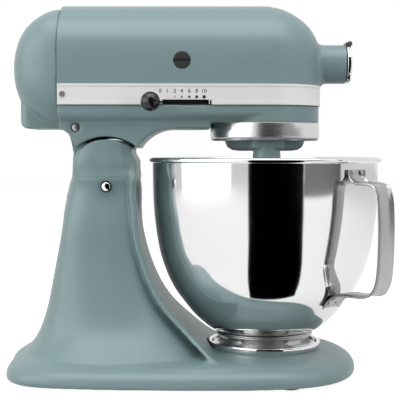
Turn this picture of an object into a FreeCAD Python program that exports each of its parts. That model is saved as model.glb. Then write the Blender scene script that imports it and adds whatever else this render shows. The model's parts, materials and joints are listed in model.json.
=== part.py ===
import FreeCAD, Part
import math
import os

os.makedirs("parts", exist_ok=True)

# Tilt-head stand mixer, millimetres. +X points forward out of the attachment hub, +Z is up,
# +Y is the side of the lock lever. The origin is the middle of the footprint, on the table.

V = FreeCAD.Vector

# ---- Overall layout -------------------------------------------------------------------------
BOWL_X = 68.0          # bowl and planetary axis, forward of the origin
HEAD_TOP_Z = 356.4     # highest line of the motor housing
HUB_Z = 300.3          # axis of the attachment hub and of the motor
PIN_X = -112.2         # hinge pin of the head
PIN_Z = 238.0
LOCK_X = -83.5         # lock shaft, and centre of the dome that the head rests on
LOCK_Z = 182.5
SEAM_X = -128.0        # joint between motor housing and rear cover

# ---- Clearances -----------------------------------------------------------------------------
RUN = 0.05             # radial running clearance of shafts
GAP = 0.35             # between curved faces of bodies that move
SEAT = 0.02            # between pieces that are fixed together

# ---- Base and pedestal ----------------------------------------------------------------------
FOOT_H = 3.0           # how far the rubber feet stand out of the base
FOOT_R = 11.0
BASE_REAR_X = -181.0
BASE_FRONT_X = 156.0
BASE_HALF_W = 112.0
BASE_SIDE_Z = 10.0     # top of the upright side of the base
BASE_TOP_Z = 24.0      # flat top of the base under the bowl
CAST_WALL = 5.0        # wall of the hollow castings
COVER_T = 1.2          # bottom cover sheet
DOME_R = 44.5          # top of the pedestal, about the lock shaft
DOME_GAP = 2.5         # slot between the dome and the head
HEAD_TILT = 45.0       # degrees
COLUMN_HALF_W = 48.0   # half width of the pedestal at its top
FLANGE_T = 6.0         # raised edge down the pedestal's front
FLANGE_DROP = 1.6      # how far its sides stand in from the column's
TONGUE_HALF_W = 13.0   # hinge tongue on top of the pedestal
TONGUE_R = 12.5
HINGE_PIN_R = 4.0
PIN_SINK = 3.0         # how deep the hinge pin's ends sit in the head
LOCK_SHAFT_R = 4.5
HEIGHT_SCREW_X = PIN_X + 17.0   # stop screw that sets the beater's height
HEIGHT_SCREW_R = 2.5

# ---- Head -----------------------------------------------------------------------------------
NOSE_R = 53.2          # half width of the head at its nose
REAR_HALF_W = 58.0     # half width of the head at the seam
HOUSING_Z = 259.0      # joint between motor housing and gearcase
HOUSING_WALL = 3.0
BAND_H = 19.4
BAND_T = 1.2
BAND_SINK = 0.8        # depth of the band's recess
BELLY_Z = 237.0        # underside of the gearcase behind the nose
WEB_HALF_W = COLUMN_HALF_W - 0.5   # narrower gearcase behind the nose
HUB_R = 18.8
HUB_FILLET = 7.0
HUB_END_X = 146.0
HUB_BORE_R = 15.9
HUB_FLOOR_X = 100.0
LINER_T = 1.6          # wall of the socket's steel liner
LINER_LIP = 0.3        # how far the liner stands out of the painted hub
HUB_COVER_T = 5.0
RING_TOP_Z = 242.6
RING_H = 16.8
RING_WALL = 1.2

# ---- Drive ----------------------------------------------------------------------------------
# The rooms are measured inwards from the nose's outside.
SHAFT_R = 5.0          # centre shaft
MOTOR_SHAFT_R = 4.0
BUSH_R = 9.0           # outside of the centre shaft's bush
WORM_R = 7.0           # pitch radius of the worm
WORM_WHEEL_ROOM = 14.2
WORM_WHEEL_TEETH = 26
WORM_MODULE = (NOSE_R - WORM_WHEEL_ROOM) / WORM_WHEEL_TEETH
CENTRE_GEAR_ROOM = 12.7
CENTRE_TEETH = 54
PINION_TEETH = 14
GEAR_MODULE = 2.0 * (NOSE_R - CENTRE_GEAR_ROOM) / CENTRE_TEETH
RING_GEAR_R = NOSE_R - 3.6
RING_RIM = 4.6         # from the ring gear's outside to its pitch circle
RING_TEETH = 72
RING_MODULE = 2.0 * (RING_GEAR_R - RING_RIM) / RING_TEETH
PLANET_TEETH = 20
MITRE_TEETH = 20
MITRE_R = 16.0
PLANETARY_ROOM = 14.2
PLANETARY_R = NOSE_R - PLANETARY_ROOM
PLANETARY_Z = 216.0    # underside of the planetary
AGITATOR_R = 6.0
AGITATOR_SHAFT_R = AGITATOR_R - 1.0
CROSS_PIN_R = 1.5
CROSS_PIN_Z = 178.0
SPACER_PIN_Z = 232.0   # cross pin hole of the planetary on its shaft
RING_PITCH = RING_MODULE * RING_TEETH / 2.0
PLANET_PITCH = RING_MODULE * PLANET_TEETH / 2.0
AGITATOR_Y = -(RING_PITCH - PLANET_PITCH)

# ---- Speed lever ----------------------------------------------------------------------------
SLOT_X0 = -33.5
SLOT_X1 = 15.7
SLOT_Z = 261.4
SLOT_H = 4.6
LEVER_R = 1.9
LEVER_TRAVEL = 40.0
KNOB_R = 9.0
KNOB_AT = V(-40.5, -76.0, 261.0)

# ---- Bowl -----------------------------------------------------------------------------------
RIM_Z = 207.2
RIM_BEAD_R = 2.5
BOWL_R = 110.2
BOWL_T = 1.0
BOWL_FOOT_R = 44.6
BOWL_FLOOR_Z = 40.0
CLAMP_R = 55.0
CLAMP_T = 4.0
HANDLE_AZ = -45.0      # degrees from +X
HANDLE_R = 144.0
HANDLE_W = 24.0
HANDLE_T = 2.0
WELD_GAP = 0.3         # between the handle's tabs and the bowl's wall
HANDLE_POINTS = 90     # straight pieces along the handle's bend


# ---- Shape helpers --------------------------------------------------------------------------
def cyl(r, x, y, z0, z1):
    return Part.makeCylinder(r, z1 - z0, V(x, y, z0))


def rod(r, start, end):
    along = end - start
    return Part.makeCylinder(r, along.Length, start, along)


def tube(r_out, r_in, start, end):
    return rod(r_out, start, end).cut(rod(r_in, start, end))


def box(x0, x1, y0, y1, z0, z1):
    return Part.makeBox(x1 - x0, y1 - y0, z1 - z0, V(x0, y0, z0))


def join(first, *rest):
    return first.fuse(list(rest)).removeSplitter() if rest else first


def mirror_y(shape):
    return shape.mirror(V(0, 0, 0), V(0, 1, 0))


def both_sides(shape):
    return Part.makeCompound([shape, mirror_y(shape)])


def revolve_z(points, x=BOWL_X, y=0.0, angle=360.0):
    """A solid of revolution about a vertical axis, from (radius, height) points."""
    wire = Part.makePolygon([V(x + r, y, z) for r, z in points + points[:1]])
    return Part.Face(wire).revolve(V(x, y, 0), V(0, 0, 1), angle)


def revolve_x(points, z=HUB_Z, y=0.0):
    """A solid of revolution about an axis along X, from (x, radius) points."""
    wire = Part.makePolygon([V(px, y, z + r) for px, r in points + points[:1]])
    return Part.Face(wire).revolve(V(0, y, z), V(1, 0, 0), 360.0)


def closed_curve(points):
    curve = Part.BSplineCurve()
    curve.interpolate(points, PeriodicFlag=True)
    return Part.Wire([curve.toShape()])


def loft(wires, ruled=False):
    return Part.makeLoft(wires, True, ruled)


def screw(x, y, z_head, length, up=1.0, r=2.0, head_r=3.8, head_h=2.4):
    """A pan-head screw with its head's seat at z_head and its shank pointing up (or down)."""
    axis = V(0, 0, up)
    seat = V(x, y, z_head)
    shank = Part.makeCylinder(r, length, seat, axis)
    head = Part.makeCylinder(head_r, head_h, seat - axis * head_h, axis)
    slot = Part.makeBox(2 * head_r, 1.0, 1.0, V(x - head_r, y - 0.5, 0))
    slot.translate(V(0, 0, z_head - up * head_h - (0 if up > 0 else 1.0)))
    return join(shank, head).cut(slot)


def write(name, shape):
    shape.exportStep("parts/%s.step" % name)


# ---- Gear teeth -----------------------------------------------------------------------------
def involute(angle):
    return math.tan(angle) - angle


def tooth_outline(module, teeth, r_low, r_high, thickness, steps=5):
    """Corner points of a whole gear outline, with involute flanks from r_low to r_high."""
    pressure = math.radians(20.0)
    pitch = module * teeth / 2.0
    base = pitch * math.cos(pressure)
    half_at_pitch = thickness / (2.0 * pitch)
    flank = []
    for i in range(steps):
        r = r_low + (r_high - r_low) * i / (steps - 1)
        at_r = math.acos(min(1.0, base / r))
        flank.append((r, half_at_pitch + involute(pressure) - involute(at_r)))
    points = []
    for k in range(teeth):
        middle = 2.0 * math.pi * k / teeth
        points += [(r, middle - half) for r, half in flank]
        points += [(r, middle + half) for r, half in reversed(flank)]
    return points


def gear(module, teeth, z0, z1, backlash=0.25, turn=0.0, scale=None, internal=False):
    """A gear about the Z axis at the origin, or the toothed hole of an internal gear."""
    pitch = module * teeth / 2.0
    thickness = math.pi * module / 2.0 + (backlash if internal else -backlash)
    low, high = (1.0, 1.2) if internal else (1.2, 1.0)
    outline = tooth_outline(module, teeth, pitch - low * module, pitch + high * module, thickness)
    turn = math.radians(turn)

    def wire(z, k):
        ring = [V(k * r * math.cos(a + turn), k * r * math.sin(a + turn), z) for r, a in outline]
        return Part.makePolygon(ring + ring[:1])

    if scale is None:
        return Part.Face(wire(z0, 1.0)).extrude(V(0, 0, z1 - z0))
    return loft([wire(z0, 1.0), wire(z1, scale)], ruled=True)


def moved(shape, x, y, z):
    out = shape.copy()
    out.translate(V(x, y, z))
    return out


# ---- Base and pedestal ----------------------------------------------------------------------
def base_wire(z, inset=0.0):
    """The base's plan outline, drawn in from its edge by inset."""
    half = BASE_HALF_W - inset
    rear = BASE_REAR_X + inset
    front = BASE_FRONT_X - inset
    side = [(rear, 0.0), (rear + 2, 0.36 * half), (rear + 8, 0.64 * half), (rear + 25, 0.83 * half),
            (rear + 60, 0.93 * half), (rear + 115, 0.98 * half), (BOWL_X - 55, half),
            (BOWL_X + 10, 0.965 * half), (front - 37, 0.82 * half), (front - 16, 0.60 * half),
            (front - 4, 0.32 * half), (front, 0.0)]
    ring = [V(x, -y, z) for x, y in side] + [V(x, y, z) for x, y in side[-2:0:-1]]
    return closed_curve(ring)


# Height, rear X, front X, half width and squareness of the pedestal's sections.
COLUMN = [
    (16.0, -171.0, 34.0, 96.0, 2.3),
    (22.0, -166.0, 24.0, 91.0, 2.4),
    (29.0, -160.5, 13.5, 82.5, 2.5),
    (38.4, -154.0, 3.2, 72.5, 2.6),
    (50.1, -149.0, -9.0, 64.0, 2.7),
    (67.7, -143.6, -25.6, 57.5, 2.9),
    (91.1, -138.7, -39.3, 53.0, 3.1),
    (120.3, -132.9, -49.6, 50.0, 3.3),
    (149.6, -127.9, -54.6, 48.6, 3.4),
    (190.5, -118.8, -55.3, COLUMN_HALF_W, 3.5),
    (232.0, -109.6, -56.0, COLUMN_HALF_W - 0.5, 3.5),
]


def column_wire(section, inset=0.0):
    z, rear, front, half, power = section
    middle = (rear + front) / 2.0
    long = (front - rear) / 2.0 - inset
    wide = half - inset
    ring = []
    for i in range(32):
        a = 2.0 * math.pi * i / 32
        c, s = math.cos(a), math.sin(a)
        x = middle + long * math.copysign(abs(c) ** (2.0 / power), c)
        y = wide * math.copysign(abs(s) ** (2.0 / power), s)
        ring.append(V(x, y, z))
    return closed_curve(ring)


def flange_wire(section):
    """The square front edge of the column at one height."""
    z, _, front, half, _ = section
    wide = half - FLANGE_DROP
    corners = [V(front - FLANGE_T, -wide, z), V(front, -wide, z), V(front, wide, z),
               V(front - FLANGE_T, wide, z)]
    return Part.makePolygon(corners + corners[:1])


def dome_limit(radius):
    """Everything below the round top of the pedestal."""
    below = box(-250, 250, -150, 150, 0, LOCK_Z)
    arch = rod(radius, V(LOCK_X, -150, LOCK_Z), V(LOCK_X, 150, LOCK_Z))
    return below.fuse(arch)


BASE_RIM = [(FOOT_H, 0.8), (BASE_SIDE_Z - 3, 0.0), (BASE_SIDE_Z + 3, 1.6), (BASE_SIDE_Z + 8, 7.0),
            (BASE_SIDE_Z + 11.5, 16.0), (BASE_TOP_Z - 0.8, 32.0), (BASE_TOP_Z, 48.0)]
FEET = [(BASE_REAR_X + 34, 62.0), (BASE_REAR_X + 34, -62.0), (BOWL_X + 18, 84.0),
        (BOWL_X + 18, -84.0), (BASE_FRONT_X - 20, 0.0)]
COVER_SCREWS = [(BASE_REAR_X + 62, 78.0), (BASE_REAR_X + 62, -78.0), (BOWL_X - 42, 92.0),
                (BOWL_X - 42, -92.0)]
CLAMP_SCREW_R = 30.0     # circle that the clamp plate's screws stand on
CLAMP_SCREW_SHANK_R = 2.5
CLAMP_ANGLES = [45, 135, 225, 315]
PLUNGER_AT = (LOCK_X + 14.0, LOCK_Z + 12.0)
PLUNGER_R = 5.0


def pedestal_casting():
    plate = loft([base_wire(z, inset) for z, inset in BASE_RIM])
    column = loft([column_wire(s) for s in COLUMN])
    flange = loft([flange_wire(s) for s in COLUMN])
    column = column.fuse(flange).common(dome_limit(DOME_R))
    tongue_top = rod(TONGUE_R, V(PIN_X, -TONGUE_HALF_W, PIN_Z), V(PIN_X, TONGUE_HALF_W, PIN_Z))
    lean = math.radians(40.0)
    side = [(-TONGUE_R * math.cos(lean), -TONGUE_R * math.sin(lean)), (TONGUE_R, 0.0),
            (TONGUE_R + 16, -32.0), (-3.0, -42.0)]
    corners = [V(PIN_X + x, -TONGUE_HALF_W, PIN_Z + z) for x, z in side]
    tongue = Part.Face(Part.makePolygon(corners + corners[:1])).extrude(V(0, 2 * TONGUE_HALF_W, 0))
    body = plate.fuse([column, tongue_top, tongue])

    solid_form = plate.fuse(column)
    hollow_column = loft([column_wire(s, CAST_WALL) for s in COLUMN[:-2]])
    pocket = loft([base_wire(0.0, 8.0), base_wire(BASE_SIDE_Z, 9.0), base_wire(BASE_TOP_Z - CAST_WALL, 34.0)])
    body = body.cut([hollow_column, pocket])

    floor_z = FOOT_H + COVER_T + 0.5
    bosses = [cyl(5.0, x, y, floor_z, 60.0).common(solid_form) for x, y in COVER_SCREWS]
    feet_posts = [cyl(FOOT_R + 2, x, y, floor_z, 60.0).common(solid_form) for x, y in FEET]
    clamp_posts = [cyl(6.0, *clamp_point(a), 10.0, BASE_TOP_Z - 2.0) for a in CLAMP_ANGLES]
    guide = cyl(PLUNGER_R + 4, PLUNGER_AT[0], 0, LOCK_Z - 10, LOCK_Z + 20)
    body = body.fuse(bosses + feet_posts + clamp_posts + [guide])

    cuts = [cyl(2.0 + SEAT, x, y, 0.0, 13.5) for x, y in COVER_SCREWS]
    cuts += [cyl(4.0 + SEAT, x, y, 0.0, 11.5) for x, y in FEET]
    cuts += [cyl(CLAMP_SCREW_SHANK_R + SEAT, *clamp_point(a), 12.0, BASE_TOP_Z + 1) for a in CLAMP_ANGLES]
    cuts.append(cyl(CLAMP_R + 1.2, BOWL_X, 0, BASE_TOP_Z - 0.6, BASE_TOP_Z + 30))
    cuts.append(rod(HINGE_PIN_R + RUN, V(PIN_X, -30, PIN_Z), V(PIN_X, 30, PIN_Z)))
    cuts.append(rod(LOCK_SHAFT_R + RUN, V(LOCK_X, -80, LOCK_Z), V(LOCK_X, 80, LOCK_Z)))
    cuts.append(cyl(PLUNGER_R + RUN, PLUNGER_AT[0], 0, LOCK_Z + 1.4, LOCK_Z + 80))
    cuts.append(cyl(HEIGHT_SCREW_R + SEAT, HEIGHT_SCREW_X, 0, 200, 240))
    return body.cut(cuts)



def clamp_point(angle):
    a = math.radians(angle)
    return BOWL_X + CLAMP_SCREW_R * math.cos(a), CLAMP_SCREW_R * math.sin(a)


def bottom_cover():
    sheet = Part.Face(base_wire(0.0, 8.5)).extrude(V(0, 0, COVER_T))
    sheet.translate(V(0, 0, FOOT_H + 0.3))
    holes = [cyl(2.3, x, y, 0, 10) for x, y in COVER_SCREWS]
    holes += [cyl(4.4, x, y, 0, 10) for x, y in FEET]
    return sheet.cut(holes)


def rubber_feet():
    feet = []
    for x, y in FEET:
        pad = Part.makeCone(FOOT_R - 1.2, FOOT_R, FOOT_H + 0.2, V(x, y, 0))
        plug = cyl(4.0, x, y, FOOT_H + 0.2, 11.0)
        feet.append(join(pad, plug))
    return Part.makeCompound(feet)


BAYONET = [30, 120, 210, 300]


def bowl_clamp_plate():
    """A dished chromed plate whose inward tabs hold the bowl's foot down."""
    z = BASE_TOP_Z - 0.6 + SEAT
    plate = revolve_z([(6.0, z), (CLAMP_R, z), (CLAMP_R, z + 5.2), (CLAMP_R - 1.6, z + 7.0),
                       (CLAMP_R - 6.5, z + 7.0), (CLAMP_R - 6.5, z + 5.6), (CLAMP_R - 3.0, z + 5.2),
                       (CLAMP_R - 3.0, z + 2.0), (6.0, z + 2.0)])
    tabs = []
    for a in BAYONET:
        tab = revolve_z([(BOWL_FOOT_R + 0.8, z + 5.6), (CLAMP_R - 6.0, z + 5.6),
                         (CLAMP_R - 6.0, z + 7.0), (BOWL_FOOT_R + 0.8, z + 7.0)], angle=24.0)
        tab.rotate(V(BOWL_X, 0, 0), V(0, 0, 1), a)
        tabs.append(tab)
    hole_r = CLAMP_SCREW_SHANK_R + 0.2
    holes = [cyl(hole_r, *clamp_point(a), 0, 60) for a in CLAMP_ANGLES]
    sinks = [Part.makeCone(hole_r, 5.0, 2.0, V(*clamp_point(a), z)) for a in CLAMP_ANGLES]
    return plate.fuse(tabs).cut(holes + sinks)


def clamp_plate_screws():
    z = BASE_TOP_Z - 0.6 + SEAT
    screws = []
    for a in CLAMP_ANGLES:
        x, y = clamp_point(a)
        head = Part.makeCone(CLAMP_SCREW_SHANK_R, 4.8, 1.9, V(x, y, z + 0.1))
        shank = cyl(CLAMP_SCREW_SHANK_R, x, y, 13.0, z + 0.1)
        slot = box(x - 5, x + 5, y - 0.5, y + 0.5, z + 1.2, z + 3)
        screws.append(join(shank, head).cut(slot))
    return Part.makeCompound(screws)


# ---- Head shells ----------------------------------------------------------------------------
# Radius and height of the housing's half section, from the band up to the crown.
STRAIGHT_TOP_Z = 300.0   # the housing's sides are upright up to here
CROWN = [(NOSE_R, HOUSING_Z), (NOSE_R, STRAIGHT_TOP_Z)] + [
    (NOSE_R * share, z) for share, z in (
        (0.994, 309.0), (0.962, 320.5), (0.906, 327.5), (0.812, 335.0), (0.686, 341.7), (0.517, 348.0),
        (0.320, 353.0), (0.132, 355.7))] + [(0.0, HEAD_TOP_Z)]


def crown_face(x, inset, widen):
    """Upright half section of the housing at x, as a face on the +Y side of the middle plane."""
    pts = []
    for r, z in CROWN:
        drop = inset * min(1.0, (z - HOUSING_Z) / 70.0) if z > STRAIGHT_TOP_Z else 0.0
        pts.append(((r - inset) * widen if r > inset else 0.0, z - drop))
    pts[-1] = (0.0, HEAD_TOP_Z - inset)
    side = Part.makeLine(V(x, pts[0][0], pts[0][1]), V(x, pts[1][0], pts[1][1]))
    curve = Part.BSplineCurve()
    arc = [V(x, r, z) for r, z in pts[1:]]
    curve.interpolate(arc, InitialTangent=V(0, 0, 1), FinalTangent=V(0, -1, 0))
    middle = Part.makeLine(arc[-1], V(x, 0, pts[0][1]))
    floor = Part.makeLine(V(x, 0, pts[0][1]), V(x, pts[0][0], pts[0][1]))
    return Part.Wire([side, curve.toShape(), middle, floor])


def housing_solid(inset=0.0, rear_x=SEAM_X):
    """The housing's outer form: a half turned nose and a body that widens to the rear."""
    nose = Part.Face(crown_face(BOWL_X, inset, 1.0)).revolve(V(BOWL_X, 0, 0), V(0, 0, -1), 180.0)
    widen = 1.0 + (REAR_HALF_W / NOSE_R - 1.0) * (BOWL_X - rear_x) / (BOWL_X - SEAM_X)
    side = loft([crown_face(BOWL_X, inset, 1.0), crown_face(rear_x, inset, widen)], ruled=True)
    return nose.fuse([side, mirror_y(side)]).removeSplitter()


def plan_outline(z, inset=0.0, rear_x=SEAM_X):
    """The head's plan outline at band height."""
    r = NOSE_R - inset
    w = r + (REAR_HALF_W - NOSE_R) * (BOWL_X - rear_x) / (BOWL_X - SEAM_X)
    nose = Part.Arc(V(BOWL_X, -r, z), V(BOWL_X + r, 0, z), V(BOWL_X, r, z)).toShape()
    left = Part.makeLine(V(BOWL_X, r, z), V(rear_x, w, z))
    rear = Part.makeLine(V(rear_x, w, z), V(rear_x, -w, z))
    right = Part.makeLine(V(rear_x, -w, z), V(BOWL_X, -r, z))
    return Part.Face(Part.Wire([nose, left, rear, right]))


def plan_slab(z0, z1, inset=0.0, rear_x=SEAM_X):
    return plan_outline(z0, inset, rear_x).extrude(V(0, 0, z1 - z0))


def slot_cut():
    return box(SLOT_X0, SLOT_X1, -80, -30, SLOT_Z - SLOT_H / 2, SLOT_Z + SLOT_H / 2)


def hub_body(shell):
    """The housing with the painted hub joined to its nose by a round fillet."""
    hub = rod(HUB_R, V(BOWL_X, 0, HUB_Z), V(HUB_END_X - LINER_LIP, 0, HUB_Z))
    body = shell.fuse(hub)
    seam = []
    for edge in body.Edges:
        limits = edge.BoundBox
        first = edge.Vertexes[0]
        on_hub = abs(math.hypot(first.Y, first.Z - HUB_Z) - HUB_R) < 0.05
        if on_hub and BOWL_X + 30 < limits.XMin and limits.XMax < HUB_END_X - 10 and limits.XLength > 0.5:
            seam.append(edge)
    return body.makeFillet(HUB_FILLET, seam)


TRIM_SCREW_R = 1.5
TRIM_SCREW_X = SEAM_X + 5.0
TRIM_SCREW_Z = HOUSING_Z + 0.1 + BAND_H / 2
BRUSH_X = -12.2          # the two brush caps' axis
BRUSH_CAP_R = 8.1
EAR_Y0 = 6.0
EAR_Y1 = 9.0
EAR_R = 2.4              # round ends of the cover's two hinge ears
COVER_HINGE = V(HUB_END_X + 3.9, 0, HUB_Z + HUB_BORE_R + 3.6)
COVER_PIN_R = 1.2
KNOB_X = 134.5
THUMB_SCREW_R = 3.0
JOURNAL_R = 12.5         # hub drive shaft's journal


def motor_housing():
    outer = hub_body(housing_solid())
    inner = housing_solid(HOUSING_WALL, SEAM_X - 1)
    cavity = inner.common(box(-400, BOWL_X + 80, -100, 100, HOUSING_Z - 1, 400))
    bore = rod(HUB_BORE_R + LINER_T + SEAT, V(HUB_FLOOR_X - 2, 0, HUB_Z), V(HUB_END_X + 1, 0, HUB_Z))
    neck = rod(JOURNAL_R + 0.1, V(BOWL_X + 30, 0, HUB_Z), V(HUB_FLOOR_X, 0, HUB_Z))
    recess = plan_slab(HOUSING_Z - 1, HOUSING_Z + BAND_H + 0.2, -3.0).cut(
        plan_slab(HOUSING_Z - 2, HOUSING_Z + BAND_H + 1, BAND_SINK, SEAM_X - 1))
    brush = rod(BRUSH_CAP_R + 0.15, V(BRUSH_X, -80, HUB_Z), V(BRUSH_X, 80, HUB_Z))
    screw_bore = rod(THUMB_SCREW_R + SEAT, V(KNOB_X, 5, HUB_Z), V(KNOB_X, 40, HUB_Z))
    trim_hole = rod(TRIM_SCREW_R + SEAT, V(TRIM_SCREW_X, -80, TRIM_SCREW_Z),
                    V(TRIM_SCREW_X, 80, TRIM_SCREW_Z))
    return outer.cut([cavity, bore, neck, recess, brush, screw_bore, trim_hole, slot_cut()])


def trim_band():
    z = HOUSING_Z + 0.1
    rear = SEAM_X + 0.3
    band = plan_slab(z, z + BAND_H, BAND_SINK - BAND_T, rear).cut(
        plan_slab(z - 1, z + BAND_H + 1, BAND_SINK - SEAT, rear - 1))
    beads = plan_slab(z, z + 2.6, BAND_SINK - BAND_T - 0.5, rear).fuse(
        plan_slab(z + BAND_H - 2.2, z + BAND_H, BAND_SINK - BAND_T - 0.5, rear)).cut(
        plan_slab(z - 1, z + BAND_H + 1, BAND_SINK - BAND_T + 0.2, rear - 1))
    band = band.fuse(beads)
    w = REAR_HALF_W + 5
    holes = rod(TRIM_SCREW_R + 0.1, V(TRIM_SCREW_X, -w, TRIM_SCREW_Z), V(TRIM_SCREW_X, w, TRIM_SCREW_Z))
    return band.cut([slot_cut(), holes])


def trim_screws():
    x, z = TRIM_SCREW_X, TRIM_SCREW_Z
    y = REAR_HALF_W - BAND_SINK + BAND_T + 0.05
    shank = rod(TRIM_SCREW_R, V(x, y - 6, z), V(x, y, z))
    head = rod(2.6, V(x, y, z), V(x, y + 1.2, z))
    groove = box(x - 5, x + 5, y + 0.6, y + 2, z - 0.35, z + 0.35)
    return both_sides(join(shank, head).cut(groove))


# Rear cover sections: x, half width, top and bottom height, squareness.
REAR_COVER = [
    (SEAM_X, 56.6, 351.8, 236.6, 2.9),
    (SEAM_X - 16, 54.6, 348.3, 240.0, 2.8),
    (SEAM_X - 27, 50.4, 341.6, 246.5, 2.7),
    (SEAM_X - 36, 43.0, 332.8, 255.5, 2.5),
    (SEAM_X - 42.5, 32.5, 321.0, 267.0, 2.3),
    (SEAM_X - 46.0, 19.0, 309.5, 281.0, 2.1),
]


def rear_cover_wire(section, inset=0.0):
    x, half, top, bottom, power = section
    middle = (top + bottom) / 2.0
    tall = (top - bottom) / 2.0 - inset
    ring = []
    for i in range(32):
        a = 2.0 * math.pi * i / 32
        c, s = math.cos(a), math.sin(a)
        y = (half - inset) * math.copysign(abs(c) ** (2.0 / power), c)
        z = middle + tall * math.copysign(abs(s) ** (2.0 / power), s)
        ring.append(V(x, y, z))
    return closed_curve(ring)


CHIN_HALF_W = 34.0
GLAND_Z = 251.0
GLAND_R = 4.5
COVER_SCREW_Z = 327.0
COVER_SCREW_X = SEAM_X - 36.0


def rear_cover():
    dome = loft([rear_cover_wire(s) for s in REAR_COVER])
    chin = box(SEAM_X - 38.5, SEAM_X, -CHIN_HALF_W, CHIN_HALF_W, BELLY_Z, 275.0)
    corner = [e for e in chin.Edges if e.BoundBox.XMax < SEAM_X - 30
              and (e.BoundBox.ZLength > 20 or e.BoundBox.ZMax < BELLY_Z + 1)]
    chin = chin.makeFillet(8.0, corner)
    outer = dome.fuse(chin)
    hollow = loft([rear_cover_wire(s, HOUSING_WALL) for s in
                   [(SEAM_X + 1,) + REAR_COVER[0][1:]] + REAR_COVER[1:-1]])
    hollow_chin = box(SEAM_X - 35.5, SEAM_X + 1, -CHIN_HALF_W + 3, CHIN_HALF_W - 3, BELLY_Z + 3, 273.0)
    cord_hole = rod(GLAND_R, V(-185, 0, GLAND_Z), V(-150, 0, GLAND_Z))
    post = rod(6.0, V(SEAM_X - 37, 0, COVER_SCREW_Z), V(SEAM_X - 6, 0, COVER_SCREW_Z))
    screw_hole = rod(2.1, V(SEAM_X - 60, 0, COVER_SCREW_Z), V(SEAM_X, 0, COVER_SCREW_Z))
    sink = rod(4.6, V(SEAM_X - 60, 0, COVER_SCREW_Z), V(COVER_SCREW_X, 0, COVER_SCREW_Z))
    return outer.cut([hollow, hollow_chin]).fuse(post).cut([cord_hole, screw_hole, sink])


def cord_gland():
    x0 = SEAM_X - 38.5
    collar = rod(GLAND_R + 1.8, V(x0 - 2.6, 0, GLAND_Z), V(x0 - SEAT, 0, GLAND_Z))
    body = rod(GLAND_R - SEAT, V(x0 - 1, 0, GLAND_Z), V(x0 + 6, 0, GLAND_Z))
    hole = rod(3.2, V(x0 - 5, 0, GLAND_Z), V(x0 + 10, 0, GLAND_Z))
    return collar.fuse(body).cut(hole)


def rear_cover_screw():
    x, z = COVER_SCREW_X, COVER_SCREW_Z
    head = rod(4.2, V(x - 2.6, 0, z), V(x - SEAT, 0, z))
    shank = rod(2.0, V(x - 1, 0, z), V(BEARING_X[0] + 3, 0, z))
    slots = [box(x - 3, x - 1.6, -3, 3, z - 0.6, z + 0.6), box(x - 3, x - 1.6, -0.6, 0.6, z - 3, z + 3)]
    return join(head, shank).cut(slots)


# ---- Gearcase -------------------------------------------------------------------------------
DECK_Z = 255.5
RING_GEAR_Z0 = 243.6
RING_GEAR_Z1 = 255.3
HOUSING_SCREW_R = 2.0
HOUSING_SCREWS = [(BOWL_X - 58, 39.0), (BOWL_X - 58, -39.0), (-92.0, 39.0), (-92.0, -39.0)]


def neck_profile():
    """Side outline of the gearcase behind its nose, as a face in the middle plane."""
    nodes = [V(BOWL_X - 30, 0, HOUSING_Z), V(BOWL_X - 30, 0, RING_TOP_Z + 0.2),
             V(BOWL_X - NOSE_R - 0.5, 0, RING_TOP_Z + 0.2), V(BOWL_X - NOSE_R - 0.5, 0, BELLY_Z)]
    edges = [Part.makeLine(a, b) for a, b in zip(nodes, nodes[1:])]
    edges.append(Part.makeLine(nodes[3], V(-22.7, 0, BELLY_Z)))
    edges.append(Part.Arc(V(-22.7, 0, BELLY_Z), V(-42.6, 0, 230.6), V(-55.6, 0, 216.0)).toShape())
    r = DOME_R + DOME_GAP
    first = V(-55.6, 0, LOCK_Z + math.sqrt(r * r - (-55.6 - LOCK_X) ** 2))
    last = V(-113.4, 0, LOCK_Z + math.sqrt(r * r - (-113.4 - LOCK_X) ** 2))
    edges.append(Part.makeLine(V(-55.6, 0, 216.0), first))
    edges.append(Part.Arc(first, V(LOCK_X, 0, LOCK_Z + r), last).toShape())
    edges.append(Part.Arc(last, V(-118.6, 0, 231.5), V(SEAM_X, 0, BELLY_Z)).toShape())
    edges.append(Part.makeLine(V(SEAM_X, 0, BELLY_Z), V(SEAM_X, 0, HOUSING_Z)))
    edges.append(Part.makeLine(V(SEAM_X, 0, HOUSING_Z), nodes[0]))
    return Part.Face(Part.Wire(edges))


def tilt_sweep():
    """Where the dome passes, seen from the head, as the head tilts up."""
    radius = DOME_R + GAP
    away = math.hypot(LOCK_X - PIN_X, LOCK_Z - PIN_Z)
    dome = rod(radius, V(LOCK_X, -80, LOCK_Z), V(LOCK_X, 80, LOCK_Z))
    tilted = dome.copy()
    tilted.rotate(V(PIN_X, 0, PIN_Z), V(0, 1, 0), HEAD_TILT)
    ring = tube(away, away - radius, V(PIN_X, -80, PIN_Z), V(PIN_X, 80, PIN_Z))
    start = math.degrees(math.atan2(LOCK_Z - PIN_Z, LOCK_X - PIN_X))
    ends = [V(0, -80, 0)]
    for angle in (start, start - HEAD_TILT / 2, start - HEAD_TILT):
        a = math.radians(angle)
        ends.append(V(2 * away * math.cos(a), -80, 2 * away * math.sin(a)))
    wedge = Part.Face(Part.makePolygon(ends + ends[:1])).extrude(V(0, 160, 0))
    return dome.fuse([tilted, ring.common(moved(wedge, PIN_X, 0, PIN_Z))])


def neck_room():
    """The space behind the drip ring that the gearcase may fill."""
    return box(-200, BOWL_X + 60, -80, 80, 200, HOUSING_Z).cut(
        cyl(NOSE_R + 0.5, BOWL_X, 0, 190, RING_TOP_Z + 0.2))


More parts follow.
